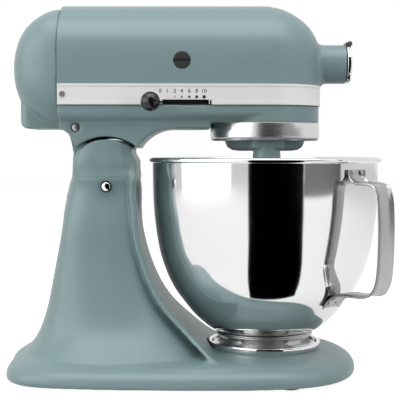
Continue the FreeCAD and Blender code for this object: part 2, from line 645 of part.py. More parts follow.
def gearcase_casting():
    flange = plan_slab(HOUSING_Z - 8, HOUSING_Z, 0.6)
    web = neck_profile().extrude(V(0, 2 * WEB_HALF_W, 0))
    web.translate(V(0, -WEB_HALF_W, 0))
    steps = ((HOUSING_Z - 8, 0.6), (HOUSING_Z - 11.5, 2.6), (HOUSING_Z - 15, 7.5))
    cove = loft([Part.Wire(plan_outline(z, inset).Edges) for z, inset in steps], ruled=True)
    drum = cyl(NOSE_R - 0.6, BOWL_X, 0, RING_TOP_Z + 0.2, HOUSING_Z)
    spigot = cyl(NOSE_R - RING_WALL - 0.8, BOWL_X, 0, RING_TOP_Z - 5, RING_TOP_Z + 1)
    body = flange.fuse([web, cove.common(neck_room()), drum, spigot])
    cuts = [cyl(RING_GEAR_R + SEAT, BOWL_X, 0, RING_TOP_Z - 20, DECK_Z)]
    pan = plan_slab(HOUSING_Z - 5, HOUSING_Z + 1, 6.0, SEAM_X - 1)
    cuts.append(pan.cut(cyl(NOSE_R - 3, BOWL_X, 0, 200, 300)))
    cuts.append(rod(16.8, V(PIN_X, -80, PIN_Z), V(PIN_X, 80, PIN_Z)).common(
        box(-140, PIN_X + 0.5, -80, 80, 200, PIN_Z - 14)))
    wide = TONGUE_HALF_W + 0.5
    round_r = TONGUE_R + 1.0
    slot = box(-160, PIN_X + 1.0, -wide, wide, 200, PIN_Z + round_r + 0.5)
    nose_of_slot = rod(round_r, V(PIN_X, -wide, PIN_Z), V(PIN_X, wide, PIN_Z))
    side = [(PIN_X, PIN_Z + round_r), (PIN_X + round_r, PIN_Z), (PIN_X + round_r + 19, PIN_Z - 34),
            (PIN_X, PIN_Z - 34), (PIN_X, PIN_Z + round_r)]
    ramp = Part.Face(Part.makePolygon([V(x, -wide, z) for x, z in side])).extrude(V(0, 2 * wide, 0))
    cuts += [slot, nose_of_slot, ramp]
    cuts.append(rod(HINGE_PIN_R + SEAT, V(PIN_X, -80, PIN_Z), V(PIN_X, 80, PIN_Z)))
    pin_end = V(PIN_X, -WEB_HALF_W + PIN_SINK, PIN_Z)
    recess = rod(HINGE_PIN_R + 0.9, V(PIN_X, -80, PIN_Z), pin_end)
    cuts += [recess, mirror_y(recess), tilt_sweep()]
    cuts.append(cyl(PLUNGER_R + 0.4, PLUNGER_AT[0], 0, 200, LOCK_Z + DOME_R + DOME_GAP + 9))
    cuts.append(cyl(BUSH_R + SEAT, BOWL_X, 0, DECK_Z - 1, HOUSING_Z + 1))
    cuts += [cyl(HOUSING_SCREW_R + SEAT, x, y, 225, HOUSING_Z + 1) for x, y in HOUSING_SCREWS]
    cuts += [cyl(4.2, x, y, 225, HOUSING_Z - 14) for x, y in HOUSING_SCREWS]
    return body.cut(cuts)


def ring_gear():
    blank = cyl(RING_GEAR_R, BOWL_X, 0, RING_GEAR_Z0, RING_GEAR_Z1)
    teeth = gear(RING_MODULE, RING_TEETH, RING_GEAR_Z0 - 1, RING_GEAR_Z1 + 1, internal=True)
    return blank.cut(moved(teeth, BOWL_X, 0, 0))


def drip_ring():
    top = RING_TOP_Z
    low = RING_TOP_Z - RING_H
    r = NOSE_R
    return revolve_z([(r - RING_WALL, top), (r, top), (r, low + 3.5), (r - 1.2, low + 1.2),
                      (r - 3.6, low), (r - 8.0, low), (r - 8.0, low + 1.0), (r - 3.6, low + 1.1),
                      (r - RING_WALL - 0.7, low + 3.6)])


def planetary_carrier():
    """A cup with an offset boss for the agitator shaft, drawn in under its rounded edge."""
    z = PLANETARY_Z
    cup = revolve_z([(0, 241.6), (PLANETARY_R, 241.6), (PLANETARY_R, z + 9), (PLANETARY_R - 2.2, z + 4),
                     (PLANETARY_R - 7, z + 0.8), (PLANETARY_R - 14, z), (0, z)])
    boss = Part.makeCone(PLANET_PITCH + 1.3, PLANET_PITCH - 1.5, 30, V(BOWL_X, AGITATOR_Y, z - 10))
    room = cyl(PLANETARY_R + 5.6, BOWL_X, 0, 200, 260)
    flat = cyl(PLANET_PITCH + 4.5, BOWL_X, AGITATOR_Y, z + 2, 240).common(room)
    body = cup.fuse([boss, flat])
    cuts = [cyl(AGITATOR_R + 1.5 + SEAT, BOWL_X, AGITATOR_Y, 200, 260)]
    cuts.append(cyl(SHAFT_R + SEAT, BOWL_X, 0, z + 5, 260))
    cuts.append(rod(CROSS_PIN_R + SEAT, V(BOWL_X, 0, SPACER_PIN_Z), V(BOWL_X, 60, SPACER_PIN_Z)))
    return body.cut(cuts)


def agitator_pinion():
    teeth = gear(RING_MODULE, PLANET_TEETH, 244.4, 254.6, turn=-90.0)
    body = moved(teeth, BOWL_X, AGITATOR_Y, 0)
    return body.cut(cyl(AGITATOR_SHAFT_R + SEAT, BOWL_X, AGITATOR_Y, 200, 300))


def agitator_shaft():
    shaft = cyl(AGITATOR_SHAFT_R, BOWL_X, AGITATOR_Y, 168, 255.2)
    collar = cyl(AGITATOR_R + 1.0, BOWL_X, AGITATOR_Y, 242.0, 244.0)
    hole = rod(CROSS_PIN_R + SEAT, V(BOWL_X - 12, AGITATOR_Y, CROSS_PIN_Z),
               V(BOWL_X + 12, AGITATOR_Y, CROSS_PIN_Z))
    return shaft.fuse(collar).cut(hole)


def agitator_bush():
    low = V(BOWL_X, AGITATOR_Y, PLANETARY_Z - 9)
    return tube(AGITATOR_R + 1.5, AGITATOR_SHAFT_R + RUN, low, V(BOWL_X, AGITATOR_Y, 241.8))


def agitator_cross_pin():
    half = 9.6
    return rod(CROSS_PIN_R, V(BOWL_X - half, AGITATOR_Y, CROSS_PIN_Z),
               V(BOWL_X + half, AGITATOR_Y, CROSS_PIN_Z))


BEATER_HALF_W = 57.0
BEATER_T = 6.0


def beater_outline(inset):
    side = [(0.0, 46.0), (14.0, 46.8), (24.0, 50.5), (33.0, 58.5), (43.0, 70.0), (51.0, 83.0), (56.0, 97.0),
            (BEATER_HALF_W, 112.0), (54.0, 128.0), (45.0, 143.0), (31.0, 154.0), (15.0, 160.0), (0.0, 162.0)]
    middle = 104.0
    half = []
    for w, z in side:
        k = 1.0 - inset / max(1.0, math.hypot(w, z - middle))
        half.append((w * k, middle + (z - middle) * k))
    ring = [V(BOWL_X + w, AGITATOR_Y, z) for w, z in half]
    ring += [V(BOWL_X - w, AGITATOR_Y, z) for w, z in half[-2:0:-1]]
    return Part.Face(closed_curve(ring))


def flat_beater():
    def slab(inset):
        out = beater_outline(inset).extrude(V(0, BEATER_T, 0))
        out.translate(V(0, -BEATER_T / 2, 0))
        return out

    window = slab(9.0)
    y0 = AGITATOR_Y - BEATER_T / 2
    y1 = AGITATOR_Y + BEATER_T / 2
    spine = box(BOWL_X - 4, BOWL_X + 4, y0, y1, 48, 160)
    bars = [spine]
    for z, slope in ((74.0, 14.0), (104.0, 18.0), (132.0, 16.0)):
        for side in (-1, 1):
            bar = box(0, 60, y0, y1, -3.5, 3.5)
            bar.rotate(V(0, 0, 0), V(0, 1, 0), -slope)
            if side < 0:
                bar = bar.mirror(V(0, 0, 0), V(1, 0, 0))
            bars.append(moved(bar, BOWL_X, 0, z - 14))
    inside = slab(1.0)
    rim = slab(0.0).cut(window)
    ribs = bars[0].fuse(bars[1:]).common(inside)
    hub = cyl(11.0, BOWL_X, AGITATOR_Y, 150, 196)
    hub = hub.fuse(Part.makeCone(7.0, 11.0, 12, V(BOWL_X, AGITATOR_Y, 138)))
    body = rim.fuse([ribs, hub])
    bore = cyl(AGITATOR_SHAFT_R + 0.2, BOWL_X, AGITATOR_Y, 166, 200)
    slot = box(BOWL_X - 10, BOWL_X + 10, AGITATOR_Y - 1.7, AGITATOR_Y + 1.7, 176.2, 200)
    return body.cut([bore, slot])


# ---- Gears and motor ------------------------------------------------------------------------
SPUR_DISTANCE = GEAR_MODULE * (CENTRE_TEETH + PINION_TEETH) / 2.0
WHEEL_PITCH = WORM_MODULE * WORM_WHEEL_TEETH / 2.0
WHEEL_Y = WORM_R + WHEEL_PITCH
WHEEL_X = BOWL_X - math.sqrt(SPUR_DISTANCE ** 2 - WHEEL_Y ** 2)
SPUR_Z0 = 266.0
SPUR_Z1 = 274.0


def mesh_turn(teeth_a, teeth_b, bearing, turn_a=0.0):
    """How far to turn gear b, seen at this bearing from gear a, so that its space faces a tooth."""
    pitch_a = 360.0 / teeth_a
    pitch_b = 360.0 / teeth_b
    phase = ((bearing - turn_a) / pitch_a) % 1.0
    return bearing + 180.0 + pitch_b * (0.5 + phase)


SPUR_BEARING = math.degrees(math.atan2(WHEEL_Y, WHEEL_X - BOWL_X))


def centre_gear():
    teeth = moved(gear(GEAR_MODULE, CENTRE_TEETH, SPUR_Z0, SPUR_Z1), BOWL_X, 0, 0)
    hub = cyl(11, BOWL_X, 0, SPUR_Z0 - 3, SPUR_Z1 + 3)
    holes = [cyl(6.5, BOWL_X + 25 * math.cos(a), 25 * math.sin(a), 250, 290)
             for a in [2 * math.pi * k / 6 for k in range(6)]]
    return teeth.fuse(hub).cut(holes + [cyl(SHAFT_R + SEAT, BOWL_X, 0, 250, 290)])


def centre_shaft():
    shaft = cyl(SHAFT_R, BOWL_X, 0, PLANETARY_Z + 5.2, MITRE_Z0 + 6)
    collar = cyl(SHAFT_R + 3, BOWL_X, 0, 242.2, 243.4)
    hole = rod(CROSS_PIN_R + SEAT, V(BOWL_X, -10, SPACER_PIN_Z), V(BOWL_X, 10, SPACER_PIN_Z))
    return shaft.fuse(collar).cut(hole)


SOCKET_W = 9.6           # square drive socket in the hub's shaft
MITRE_Z0 = HUB_Z - MITRE_R
MITRE_FACE = 6.0
MITRE_MODULE = 2.0 * MITRE_R / MITRE_TEETH


def mitre_gear(turn):
    """A 45 degree bevel gear about Z whose big end is at z 0 and whose apex is at z MITRE_R."""
    teeth = gear(MITRE_MODULE * 0.9, MITRE_TEETH, 0.0, MITRE_FACE, backlash=0.5, turn=turn,
                 scale=1.0 - MITRE_FACE / MITRE_R)
    back = cyl(MITRE_R * 0.86, 0, 0, -5.0, 0.0)
    return teeth.fuse(back)


def centre_bevel_gear():
    body = moved(mitre_gear(0.0), BOWL_X, 0, MITRE_Z0)
    return body.cut(cyl(SHAFT_R + SEAT, BOWL_X, 0, 250, 320))


def hub_drive_shaft():
    """Bevel gear, journal and square socket that turns the attachments."""
    wheel = mitre_gear(180.0 / MITRE_TEETH)
    wheel.rotate(V(0, 0, 0), V(0, 1, 0), -90)
    wheel.translate(V(BOWL_X + MITRE_R, 0, HUB_Z))
    journal = rod(JOURNAL_R, V(BOWL_X + MITRE_R + 5, 0, HUB_Z), V(HUB_FLOOR_X - 1, 0, HUB_Z))
    half = SOCKET_W / 2
    return wheel.fuse(journal).cut(
        box(BOWL_X + MITRE_R + 3, HUB_FLOOR_X + 20, -half, half, HUB_Z - half, HUB_Z + half))


def hub_sleeve():
    """Steel liner of the attachment socket."""
    x0 = HUB_FLOOR_X - 1.9
    liner = tube(HUB_BORE_R + LINER_T, HUB_BORE_R, V(x0, 0, HUB_Z), V(HUB_END_X, 0, HUB_Z))
    floor = tube(HUB_BORE_R + LINER_T, JOURNAL_R + 0.1, V(x0, 0, HUB_Z), V(x0 + 1.5, 0, HUB_Z))
    hole = rod(THUMB_SCREW_R + SEAT, V(KNOB_X, 5, HUB_Z), V(KNOB_X, 40, HUB_Z))
    clear = rod(HUB_BORE_R + 0.5, V(HUB_END_X, 0, HUB_Z), V(HUB_END_X + 9, 0, HUB_Z))
    mouth = rod(HUB_BORE_R, V(HUB_END_X - 5, 0, HUB_Z), V(HUB_END_X, 0, HUB_Z))
    bar_x = HUB_END_X - LINER_LIP + SEAT
    x, z = COVER_HINGE.x, COVER_HINGE.z
    low = HUB_Z + HUB_BORE_R - 1.5
    ears = []
    for y0 in (EAR_Y0, -EAR_Y1):
        y1 = y0 + EAR_Y1 - EAR_Y0
        ears.append(rod(EAR_R, V(x, y0, z), V(x, y1, z)))
        ears.append(box(bar_x, x, y0, y1, low, z + EAR_R / 2).cut([clear, mouth]))
    body = liner.fuse([floor] + ears)
    pin = rod(COVER_PIN_R + SEAT, V(COVER_HINGE.x, -12, COVER_HINGE.z), V(COVER_HINGE.x, 12, COVER_HINGE.z))
    return body.cut([hole, pin])


def hub_cover():
    x0 = HUB_END_X + 0.6
    disc = revolve_x([(x0, 0), (x0, HUB_R - 0.8), (x0 + 0.8, HUB_R), (x0 + HUB_COVER_T - 1.6, HUB_R),
                      (x0 + HUB_COVER_T - 0.5, HUB_R - 1.2), (x0 + HUB_COVER_T, HUB_R - 3.5),
                      (x0 + HUB_COVER_T + 0.9, 0)])
    low = HUB_Z + HUB_BORE_R - 2.0
    notches = []
    for y0 in (EAR_Y0 - 0.4, -EAR_Y1 - 0.4):
        notches.append(box(x0 - 1, COVER_HINGE.x + 3.2, y0, y0 + EAR_Y1 - EAR_Y0 + 0.8,
                           low, COVER_HINGE.z + 8))
    half = EAR_Y0 - 0.4
    knuckle = rod(EAR_R, V(COVER_HINGE.x, -half, COVER_HINGE.z), V(COVER_HINGE.x, half, COVER_HINGE.z))
    web = box(COVER_HINGE.x - EAR_R, COVER_HINGE.x + 1.6, -half, half, low, COVER_HINGE.z)
    pin = rod(COVER_PIN_R + RUN, V(COVER_HINGE.x, -12, COVER_HINGE.z), V(COVER_HINGE.x, 12, COVER_HINGE.z))
    return disc.fuse([knuckle, web]).cut(notches + [pin])


def hub_cover_pin():
    return rod(COVER_PIN_R, V(COVER_HINGE.x, -EAR_Y1, COVER_HINGE.z), V(COVER_HINGE.x, EAR_Y1, COVER_HINGE.z))


def attachment_knob():
    """Thumb screw on the far side of the hub."""
    shank = rod(THUMB_SCREW_R - RUN, V(KNOB_X, HUB_BORE_R + 0.4, HUB_Z), V(KNOB_X, HUB_R + 4, HUB_Z))
    grip = rod(10.0, V(KNOB_X, HUB_R + 3, HUB_Z), V(KNOB_X, HUB_R + 15, HUB_Z))
    edges = [e for e in grip.Edges if e.BoundBox.YLength < 0.1]
    grip = grip.makeFillet(1.5, edges)
    flutes = []
    for k in range(10):
        a = 2 * math.pi * k / 10
        x = KNOB_X + 11.2 * math.cos(a)
        z = HUB_Z + 11.2 * math.sin(a)
        flutes.append(rod(2.0, V(x, HUB_R, z), V(x, HUB_R + 20, z)))
    return shank.fuse(grip.cut(flutes))


MOTOR_X0 = -98.0
MOTOR_X1 = -40.0
CORE_R = 22.0
WINDING_R = 19.0
FIELD_Z = 24.5           # height of the field windings from the motor's axis
SECOND_SHAFT_R = 4.0     # shaft of the worm wheel and the pinion
WORM_X0 = WHEEL_X - 12.0
WORM_X1 = WHEEL_X + 12.0


def armature_shaft():
    """Motor shaft with the worm cut on its front end."""
    shaft = rod(MOTOR_SHAFT_R, V(-124, 0, HUB_Z), V(WORM_X1 + 3, 0, HUB_Z))
    r0 = WORM_R - 1.4 * WORM_MODULE
    r1 = WORM_R + 0.73 * WORM_MODULE
    core = rod(r0 + 0.2, V(WORM_X0 - 2, 0, HUB_Z), V(WORM_X1 + 1, 0, HUB_Z))
    pitch = math.pi * WORM_MODULE
    turns = (WORM_X1 - WORM_X0 - 4) / pitch
    helix = Part.makeHelix(pitch, turns * pitch, r0)
    half_root = 0.77 * WORM_MODULE
    half_tip = 0.37 * WORM_MODULE
    section = Part.makePolygon([V(r0, 0, -half_root), V(r1, 0, -half_tip), V(r1, 0, half_tip),
                                V(r0, 0, half_root), V(r0, 0, -half_root)])
    thread = Part.Wire(helix).makePipeShell([section], True, True)
    thread.rotate(V(0, 0, 0), V(0, 0, 1), 90)
    thread.rotate(V(0, 0, 0), V(0, 1, 0), 90)
    whole_turns = round((WHEEL_X - WORM_X0 - 2) / pitch)
    thread.translate(V(WHEEL_X - whole_turns * pitch, 0, HUB_Z))
    return shaft.fuse([core, thread])


def armature_core():
    stack = tube(CORE_R, MOTOR_SHAFT_R + SEAT, V(MOTOR_X0 + 4, 0, HUB_Z), V(MOTOR_X1 - 4, 0, HUB_Z))
    slots = []
    for k in range(12):
        a = 2 * math.pi * k / 12
        y, z = 17.5 * math.cos(a), HUB_Z + 17.5 * math.sin(a)
        slots.append(rod(2.6, V(MOTOR_X0, y, z), V(MOTOR_X1, y, z)))
        slot = box(MOTOR_X0, MOTOR_X1, -0.8, 0.8, 17, 24)
        slot.rotate(V(0, 0, 0), V(1, 0, 0), math.degrees(a) - 90)
        slots.append(moved(slot, 0, 0, HUB_Z))
    return stack.cut(slots)


def armature_windings():
    rear = tube(WINDING_R, MOTOR_SHAFT_R + 0.4, V(MOTOR_X0 - 6, 0, HUB_Z), V(MOTOR_X0 + 4 - SEAT, 0, HUB_Z))
    front = tube(WINDING_R, MOTOR_SHAFT_R + 0.4, V(MOTOR_X1 - 4 + SEAT, 0, HUB_Z), V(MOTOR_X1 + 6, 0, HUB_Z))
    return Part.makeCompound([rear, front])


def commutator():
    body = tube(11.0, MOTOR_SHAFT_R + SEAT, V(BRUSH_X - 7.5, 0, HUB_Z), V(BRUSH_X + 7.5, 0, HUB_Z))
    cuts = []
    for k in range(18):
        cut = box(BRUSH_X - 10, BRUSH_X + 5.5, -0.25, 0.25, 10.2, 13)
        cut.rotate(V(0, 0, 0), V(1, 0, 0), 20 * k)
        cuts.append(moved(cut, 0, 0, HUB_Z))
    return body.cut(cuts)


def cooling_fan():
    hub = tube(9.0, MOTOR_SHAFT_R + SEAT, V(-33, 0, HUB_Z), V(-25, 0, HUB_Z))
    blades = []
    for k in range(9):
        blade = box(-33, -25, -0.7, 0.7, 8.5, 30)
        blade.rotate(V(-29, 0, 0), V(0, 0, 1), 25)
        blade.rotate(V(0, 0, 0), V(1, 0, 0), 40 * k)
        blades.append(moved(blade, 0, 0, HUB_Z))
    return hub.fuse(blades)


def governor():
    """Centrifugal weights at the rear end of the motor shaft."""
    hub = tube(8.0, MOTOR_SHAFT_R + SEAT, V(-123, 0, HUB_Z), V(-116.5, 0, HUB_Z))
    weights = []
    for side in (-1, 1):
        weights.append(box(-122, -118, -5, 5, HUB_Z + side * 14 - 7.5, HUB_Z + side * 14 + 7.5))
    return hub.fuse(weights).cut(rod(MOTOR_SHAFT_R + SEAT, V(-125, 0, HUB_Z), V(-110, 0, HUB_Z)))


def stator_core():
    """Laminated field core round the armature, held by the housing's ribs."""
    block = box(MOTOR_X0 + 4, MOTOR_X1 - 4, -39, 39, HUB_Z - 33, HUB_Z + 33)
    block = block.makeFillet(9.0, [e for e in block.Edges if e.BoundBox.XLength > 20])
    bore = rod(CORE_R + 0.6, V(-140, 0, HUB_Z), V(0, 0, HUB_Z))
    pockets = []
    for side in (-1, 1):
        pockets.append(box(-140, 0, -20, 20, HUB_Z + side * FIELD_Z - 4.5, HUB_Z + side * FIELD_Z + 4.5))
    return block.cut([bore] + pockets)


def field_coils():
    coils = []
    for side in (-1, 1):
        z = HUB_Z + side * FIELD_Z
        outer = box(MOTOR_X0 - 6, MOTOR_X1 + 6, -19.5, 19.5, z - 4, z + 4)
        coils.append(outer.cut(rod(CORE_R + 1.0, V(-140, 0, HUB_Z), V(0, 0, HUB_Z))))
    return Part.makeCompound(coils)


BEARING_X = (-112.0, -0.8)
BEARING_R = 9.0


def motor_bearings():
    rings = []
    for x in BEARING_X:
        rings.append(tube(BEARING_R, MOTOR_SHAFT_R + RUN, V(x - 3.5, 0, HUB_Z), V(x + 3.5, 0, HUB_Z)))
    return Part.makeCompound(rings)


def bearing_brackets():
    """Two cast spiders that carry the motor bearings inside the housing."""
    out = []
    for x in BEARING_X:
        ring = tube(BEARING_R + 4, BEARING_R + SEAT, V(x - 3.5, 0, HUB_Z), V(x + 3.5, 0, HUB_Z))
        reach = NOSE_R - HOUSING_WALL - 3.2
        arms = [box(x - 3, x + 3, 12, reach, HUB_Z - 5, HUB_Z + 5),
                box(x - 3, x + 3, -reach, -12, HUB_Z - 5, HUB_Z + 5),
                box(x - 3, x + 3, -6, 6, HOUSING_Z + 0.4, HUB_Z - 12)]
        body = ring.fuse(arms)
        if x < -50:
            body = body.fuse(box(x - 3, x + 3, -6, 6, HUB_Z + 12, COVER_SCREW_Z + 6))
            body = body.cut(rod(2.0 + SEAT, V(x - 10, 0, COVER_SCREW_Z), V(x + 10, 0, COVER_SCREW_Z)))
        out.append(body)
    return Part.makeCompound(out)


def worm_wheel():
    turn = -90.0 + 180.0 / WORM_WHEEL_TEETH
    teeth = gear(WORM_MODULE, WORM_WHEEL_TEETH, HUB_Z - 4, HUB_Z + 4, backlash=0.9, turn=turn)
    body = moved(teeth, WHEEL_X, WHEEL_Y, 0)
    return body.cut(cyl(SECOND_SHAFT_R + SEAT, WHEEL_X, WHEEL_Y, 250, 330))


def reduction_pinion():
    turn = mesh_turn(CENTRE_TEETH, PINION_TEETH, SPUR_BEARING)
    teeth = gear(GEAR_MODULE, PINION_TEETH, SPUR_Z0 - 1, SPUR_Z1 + 1, turn=turn)
    shaft = cyl(SECOND_SHAFT_R, WHEEL_X, WHEEL_Y, HOUSING_Z + 2.2, HUB_Z + 10)
    return moved(teeth, WHEEL_X, WHEEL_Y, 0).fuse(shaft)


def shaft_bushings():
    centre = tube(BUSH_R, SHAFT_R + RUN, V(BOWL_X, 0, 243.8), V(BOWL_X, 0, 262.5))
    hole = SECOND_SHAFT_R + RUN
    lower = tube(7.5, hole, V(WHEEL_X, WHEEL_Y, HOUSING_Z + 0.2), V(WHEEL_X, WHEEL_Y, SPUR_Z0 - 1.4))
    upper = tube(7.0, hole, V(WHEEL_X, WHEEL_Y, HUB_Z + 4.4), V(WHEEL_X, WHEEL_Y, HUB_Z + 10))
    return Part.makeCompound([centre, lower, upper])


def brush_caps():
    y1 = NOSE_R + 2.4
    cap = rod(BRUSH_CAP_R, V(BRUSH_X, y1 - 7, HUB_Z), V(BRUSH_X, y1, HUB_Z))
    outer = [e for e in cap.Edges if abs(e.BoundBox.YMin - y1) < 0.1 and e.BoundBox.YLength < 0.1]
    cap = cap.makeFillet(1.0, outer)
    groove = box(BRUSH_X - 10, BRUSH_X + 10, y1 - 1.6, y1 + 2, HUB_Z - 1.0, HUB_Z + 1.0)
    return both_sides(cap.cut(groove))


def brush_holders():
    holder = rod(6.5, V(BRUSH_X, 13.5, HUB_Z), V(BRUSH_X, NOSE_R - 4.8, HUB_Z))
    return both_sides(holder.cut(box(BRUSH_X - 4.1, BRUSH_X + 4.1, 0, 60, HUB_Z - 3.1, HUB_Z + 3.1)))


def carbon_brushes():
    return both_sides(box(BRUSH_X - 4, BRUSH_X + 4, 11.3, 28, HUB_Z - 3, HUB_Z + 3))


def coil_spring(r, wire_r, length, turns):
    helix = Part.makeHelix(length / turns, length, r)
    ring = Part.Wire(Part.makeCircle(wire_r, V(r, 0, 0), V(0, 1, 0)))
    return Part.Wire(helix).makePipeShell([ring], True, True)


def brush_springs():
    spring = coil_spring(2.3, 0.35, 18.6, 7)
    spring.rotate(V(0, 0, 0), V(1, 0, 0), -90)
    return both_sides(moved(spring, BRUSH_X, 28.8, HUB_Z))


def control_board():
    """Speed board that the lever turns, across the housing's floor under the motor."""
    board = box(-90, -48, -34, 34, HOUSING_Z + 1.0, HOUSING_Z + 2.6)
    parts = [box(-84, -70, -24, -8, HOUSING_Z + 2.4, HOUSING_Z + 7),
             box(-66, -54, 6, 26, HOUSING_Z + 2.4, HOUSING_Z + 6)]
    return board.fuse(parts)


LEVER_TIP = V(KNOB_AT.x + 4.0, KNOB_AT.y + 1.5, KNOB_AT.z)
LEVER_TIP_R = 3.0
LEVER_ELBOW = V(SLOT_X0 + LEVER_R + 1.2, -NOSE_R - 1.3, SLOT_Z)


def speed_lever():
    tip, elbow = LEVER_TIP, LEVER_ELBOW
    inner = V(elbow.x, -38.0, SLOT_Z)
    taper = Part.makeCone(LEVER_TIP_R, LEVER_R, (elbow - tip).Length, tip, elbow - tip)
    arm = rod(LEVER_R, elbow, inner)
    ball = Part.makeSphere(LEVER_R, elbow)
    foot = box(inner.x - 5, inner.x + 5, -40, -32, SLOT_Z - 1.2, SLOT_Z + 1.2)
    return taper.fuse([arm, ball, foot])


def speed_knob():
    """A ball with a cup in it where the lever goes in."""
    ball = Part.makeSphere(KNOB_R, KNOB_AT)
    along = LEVER_ELBOW - LEVER_TIP
    length = along.Length
    taper = Part.makeCone(LEVER_TIP_R + SEAT, LEVER_R + SEAT, length, LEVER_TIP, along)
    cup = Part.makeSphere(4.6, KNOB_AT + along.normalize() * (KNOB_R + 1.0))
    return ball.cut([cup, taper])


def housing_screws():
    z = HOUSING_Z - 14.2
    return Part.makeCompound([screw(x, y, z, 13.5, r=HOUSING_SCREW_R) for x, y in HOUSING_SCREWS])


# ---- Hinge and lock -------------------------------------------------------------------------
def hinge_pin():
    half = WEB_HALF_W - PIN_SINK
    return rod(HINGE_PIN_R, V(PIN_X, -half, PIN_Z), V(PIN_X, half, PIN_Z))


def beater_height_screw():
    return cyl(HEIGHT_SCREW_R, HEIGHT_SCREW_X, 0, 204, 217.5)


LEVER_Y = COLUMN_HALF_W + 0.8
LEVER_DROP = 19.0        # degrees that the arm hangs below the level, to the rear


def lock_shaft():
    return rod(LOCK_SHAFT_R, V(LOCK_X, -LEVER_Y - 1.4, LOCK_Z), V(LOCK_X, LEVER_Y + 9, LOCK_Z))


def lock_lever():
    """A boss on the lock shaft with a turned arm that ends in a round grip."""
    boss = rod(9.0, V(LOCK_X, LEVER_Y + 0.4, LOCK_Z), V(LOCK_X, LEVER_Y + 9, LOCK_Z))
    outline = [(0.0, 0.0), (4.0, 0.0), (3.6, 26.0), (5.4, 30.0), (6.2, 35.0), (5.2, 39.5), (2.8, 42.0),
               (0.0, 42.0)]
    arm = revolve_z(outline, x=0.0)
    arm.rotate(V(0, 0, 0), V(0, 1, 0), -(90.0 + LEVER_DROP))
    body = boss.fuse(moved(arm, LOCK_X, LEVER_Y + 4.7, LOCK_Z))
    return body.cut(rod(LOCK_SHAFT_R + SEAT, V(LOCK_X, 0, LOCK_Z), V(LOCK_X, 100, LOCK_Z)))


def lock_plunger():
    x = PLUNGER_AT[0]
    top = LOCK_Z + math.sqrt(DOME_R ** 2 - (x - LOCK_X + PLUNGER_R) ** 2) - 0.3
    return cyl(PLUNGER_R, x, 0, LOCK_Z + 10, top)


def lock_spring():
    x = PLUNGER_AT[0]
    return moved(coil_spring(3.2, 0.5, 7.0, 4), x, 0, LOCK_Z + 2.2)


# ---- Bowl -----------------------------------------------------------------------------------
# Height and outer radius of the bowl's wall.
BOWL_WALL = [(BOWL_FLOOR_Z, 40.0), (40.4, 46.5), (44.2, 54.7), (55.9, 68.3), (67.7, 78.1), (79.4, 86.9),
             (91.1, 93.4), (102.8, 98.2), (114.4, 102.0), (126.2, 104.6), (143.7, 107.3), (167.0, 109.3),
             (RIM_Z - 2, BOWL_R)]


def bowl_shell():
    outer = [V(BOWL_X + r, 0, z) for z, r in BOWL_WALL]
    inner = [V(BOWL_X + r - BOWL_T, 0, z + BOWL_T * 0.75) for z, r in BOWL_WALL[:-1]]
    inner.append(V(BOWL_X + BOWL_R - BOWL_T, 0, RIM_Z - 2))
    out_curve = Part.BSplineCurve()
    out_curve.interpolate(outer[1:])
    in_curve = Part.BSplineCurve()
    in_curve.interpolate(inner[1:])
    edges = [Part.makeLine(V(BOWL_X, 0, BOWL_FLOOR_Z), outer[0]), Part.makeLine(outer[0], outer[1]),
             out_curve.toShape(), Part.makeLine(outer[-1], inner[-1]), in_curve.toShape(),
             Part.makeLine(inner[1], inner[0]), Part.makeLine(inner[0], V(BOWL_X, 0, BOWL_FLOOR_Z + BOWL_T)),
             Part.makeLine(V(BOWL_X, 0, BOWL_FLOOR_Z + BOWL_T), V(BOWL_X, 0, BOWL_FLOOR_Z))]
    face = Part.Face(Part.Wire(Part.__sortEdges__(edges)))
    wall = face.revolve(V(BOWL_X, 0, 0), V(0, 0, 1), 360)
    rim = Part.makeTorus(BOWL_R + 0.6, RIM_BEAD_R, V(BOWL_X, 0, RIM_Z))
    return wall.fuse(rim)


def bowl_foot():
    z = BASE_TOP_Z - 0.6 + 2.0 + 0.4
    top = BOWL_FLOOR_Z - SEAT
    r = BOWL_FOOT_R
    ring = revolve_z([(r - 1.2, z), (r, z), (r, 36.5), (r + 1.6, 38.4), (r + 0.8, top), (r - 6, top),
                      (r - 6, top - 1.2), (r - 1.2, 36.8)])
    lugs = []
    for a in BAYONET:
        lug = revolve_z([(r - 0.6, z + 0.6), (r + 2.6, z + 0.6), (r + 2.6, z + 2.6), (r - 0.6, z + 2.6)],
                        angle=14.0)
        lug.rotate(V(BOWL_X, 0, 0), V(0, 0, 1), a + 5.0)
        lugs.append(lug)
    return ring.fuse(lugs)


